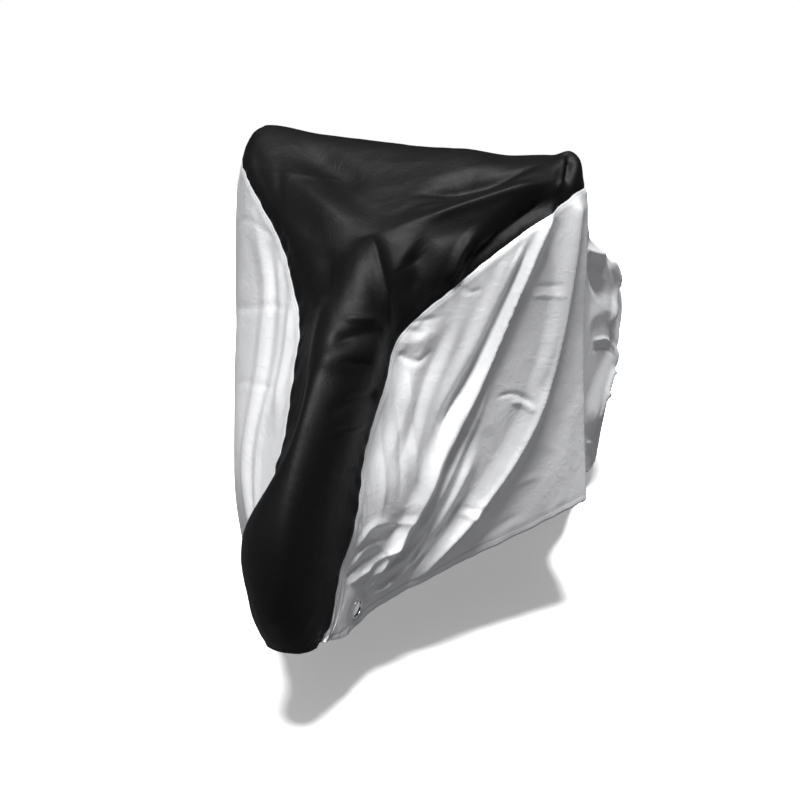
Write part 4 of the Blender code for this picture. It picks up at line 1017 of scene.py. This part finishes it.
class CoverSettings(bpy.types.PropertyGroup):
    """Settings of the cloth, its stitches and its colours"""

    gathers: FloatProperty(
        name="Gathers",
        description="How strongly the cloth puckers along seams and hems",
        default=1.0, min=0, max=3,
    )
    unevenness: FloatProperty(
        name="Unevenness",
        description="How uneven the cloth lies between its folds",
        default=1.0, min=0, max=3,
    )
    seam_depth: FloatProperty(
        name="Seam depth",
        description="How far a sewn seam draws the cloth in",
        default=0.0011, min=0, max=0.005, subtype="DISTANCE", unit="LENGTH",
    )
    stitch: FloatProperty(
        name="Stitch",
        description="Length of one stitch with its gap",
        default=0.0038, min=0.002, max=0.01, subtype="DISTANCE", unit="LENGTH",
    )
    thread: FloatProperty(
        name="Weave",
        description="Spacing of the threads as drawn",
        default=0.0026, min=0.0005, max=0.01, subtype="DISTANCE", unit="LENGTH",
    )
    silver: StringProperty(
        name="Silver", description="Colour of the silver coat, as sRGB hex", default="#e2e2e3",
    )
    silver_dark: StringProperty(
        name="Silver, shaded", description="Darker tone in the silver coat, as sRGB hex", default="#cfd0d1",
    )
    black: StringProperty(
        name="Black", description="Colour of the dark cloth, as sRGB hex", default="#070708",
    )
    metal: StringProperty(
        name="Eyelet metal", description="Colour of the eyelets, as sRGB hex", default="#dfe0e2",
    )
    thread_colour: StringProperty(
        name="Thread", description="Colour of the sewing thread, as sRGB hex", default="#6f7073",
    )


class StudioSettings(bpy.types.PropertyGroup):
    """Settings of the floor, the lights and the camera"""

    floor: StringProperty(
        name="Floor", description="Colour of the floor, as sRGB hex", default="#f2f2f2",
    )
    bounce: StringProperty(
        name="Bounce", description="Colour the floor gives back to the cloth, as sRGB hex", default="#5c5c5e",
    )
    # Painted light: a glow that only the camera sees, which lifts the shadows on the floor
    painted_floor_glow: FloatProperty(
        name="Floor glow", description="Light that comes up through the floor", default=0.30, min=0, max=5,
    )
    floor_size: FloatProperty(
        name="Floor size",
        description="Half the width of the floor",
        default=40.0, min=2, max=100, subtype="DISTANCE", unit="LENGTH",
    )
    key: FloatProperty(
        name="Key light", description="Strength of the key light", default=7.4, min=0, max=20,
    )
    fill: FloatProperty(
        name="Room light", description="Strength of the light from all round", default=0.08, min=0, max=5,
    )
    soft_box: FloatProperty(
        name="Soft box",
        description="Strength of the broad light before the bicycle",
        default=0.5, min=0, max=20,
    )
    focal: FloatProperty(
        name="Lens", description="Focal length of the camera", default=43.3, min=10, max=200, unit="CAMERA",
    )


class COVER_OT_centre_panel(bpy.types.Operator):
    """Makes the dark T-shaped centre panel over the front wheel and the bar"""

    bl_idname = "cover.centre_panel"
    bl_label = "Centre panel"

    def execute(self, context):
        settings = context.scene.cover
        look = material_for("dark_cloth", settings)
        panel = cloth_piece("centre_strip", "centre_panel", look, the_cloth(settings))
        declare_cloth(panel, "centre_panel")
        return {"FINISHED"}


class COVER_OT_side_panels(bpy.types.Operator):
    """Makes the two silver side panels"""

    bl_idname = "cover.side_panels"
    bl_label = "Side panels"

    def execute(self, context):
        settings = context.scene.cover
        look = material_for("silver_cloth", settings)
        for side in EYELET_PLACE:
            panel = cloth_piece(f"silver_side_{side}", f"side_panel_{side}", look, the_cloth(settings))
            declare_cloth(panel, f"side_panel_{side}")
        return {"FINISHED"}


class COVER_OT_eyelets(bpy.types.Operator):
    """Makes the patch that holds each eyelet, and the eyelet in it"""

    bl_idname = "cover.eyelets"
    bl_label = "Eyelets and their patches"

    def execute(self, context):
        settings = context.scene.cover
        for side in EYELET_PLACE:
            ring = eyelet_ring(side, material_for("eyelet_metal", settings))
            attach(ring, "root")
            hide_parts(f"eyelet_{side}")
            look = material_for("silver_cloth", settings)
            patch = cloth_piece(f"eyelet_strip_{side}", f"eyelet_patch_{side}", look, the_cloth(settings))
            declare_cloth(patch, f"eyelet_patch_{side}")
        return {"FINISHED"}


class COVER_OT_stitching(bpy.types.Operator):
    """Makes the rows of stitches beside the seams and above the hems"""

    bl_idname = "cover.stitching"
    bl_label = "Stitching"

    def execute(self, context):
        settings = context.scene.cover
        cloth = the_cloth(settings)
        for side, sign in SIGN.items():
            seam = line_beside(cloth, SEAM_STITCHES, SEAM_LINE[side], SEAM_STITCH_OFFSET * sign)
            hem = line_beside(cloth, HEM_STITCHES, HEM_LINE[side], -HEM_ROWS[-1].reach * sign)
            bm = bmesh.new()
            for line, normals in (seam, hem):
                stitch_row(bm, line, normals, settings.stitch)
            stitches = link_piece(f"stitches_{side}", bm, material_for("thread", settings))
            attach(stitches, "root")
        return {"FINISHED"}


class COVER_OT_studio(bpy.types.Operator):
    """Sets up the floor, the lights and the camera"""

    bl_idname = "cover.studio"
    bl_label = "Studio"

    def execute(self, context):
        settings = context.scene.cover_studio
        studio_floor(settings)
        studio_suns(context.scene, settings)
        studio_room(context.scene, settings)
        studio_camera(context.scene, settings)
        return {"FINISHED"}


class VIEW3D_PT_cover(bpy.types.Panel):
    """Lists the cover's settings and the steps that build it"""

    bl_label = "Fitted bicycle cover"
    bl_idname = "VIEW3D_PT_cover"
    bl_space_type = "VIEW_3D"
    bl_region_type = "UI"
    bl_category = "Cover"

    def draw(self, context):
        for group in (context.scene.cover, context.scene.cover_studio):
            for name in group.__annotations__:
                self.layout.prop(group, name)
        for step in STEPS:
            self.layout.operator(step.bl_idname)


STEPS = (
    COVER_OT_studio,
    COVER_OT_centre_panel,
    COVER_OT_side_panels,
    COVER_OT_eyelets,
    COVER_OT_stitching,
)
CLASSES = (CoverSettings, StudioSettings, *STEPS, VIEW3D_PT_cover)


def register():
    """Registers the classes and puts the settings on the scene."""
    for cls in CLASSES:
        bpy.utils.register_class(cls)
    bpy.types.Scene.cover = PointerProperty(type=CoverSettings)
    bpy.types.Scene.cover_studio = PointerProperty(type=StudioSettings)


def unregister():
    """Takes the settings and the classes away again."""
    del bpy.types.Scene.cover
    del bpy.types.Scene.cover_studio
    for cls in reversed(CLASSES):
        bpy.utils.unregister_class(cls)


def main():
    """Builds the studio and the cover."""
    register()
    bpy.ops.cover.studio()
    bpy.ops.cover.centre_panel()
    bpy.ops.cover.side_panels()
    bpy.ops.cover.eyelets()
    bpy.ops.cover.stitching()


if __name__ == "__main__":
    main()
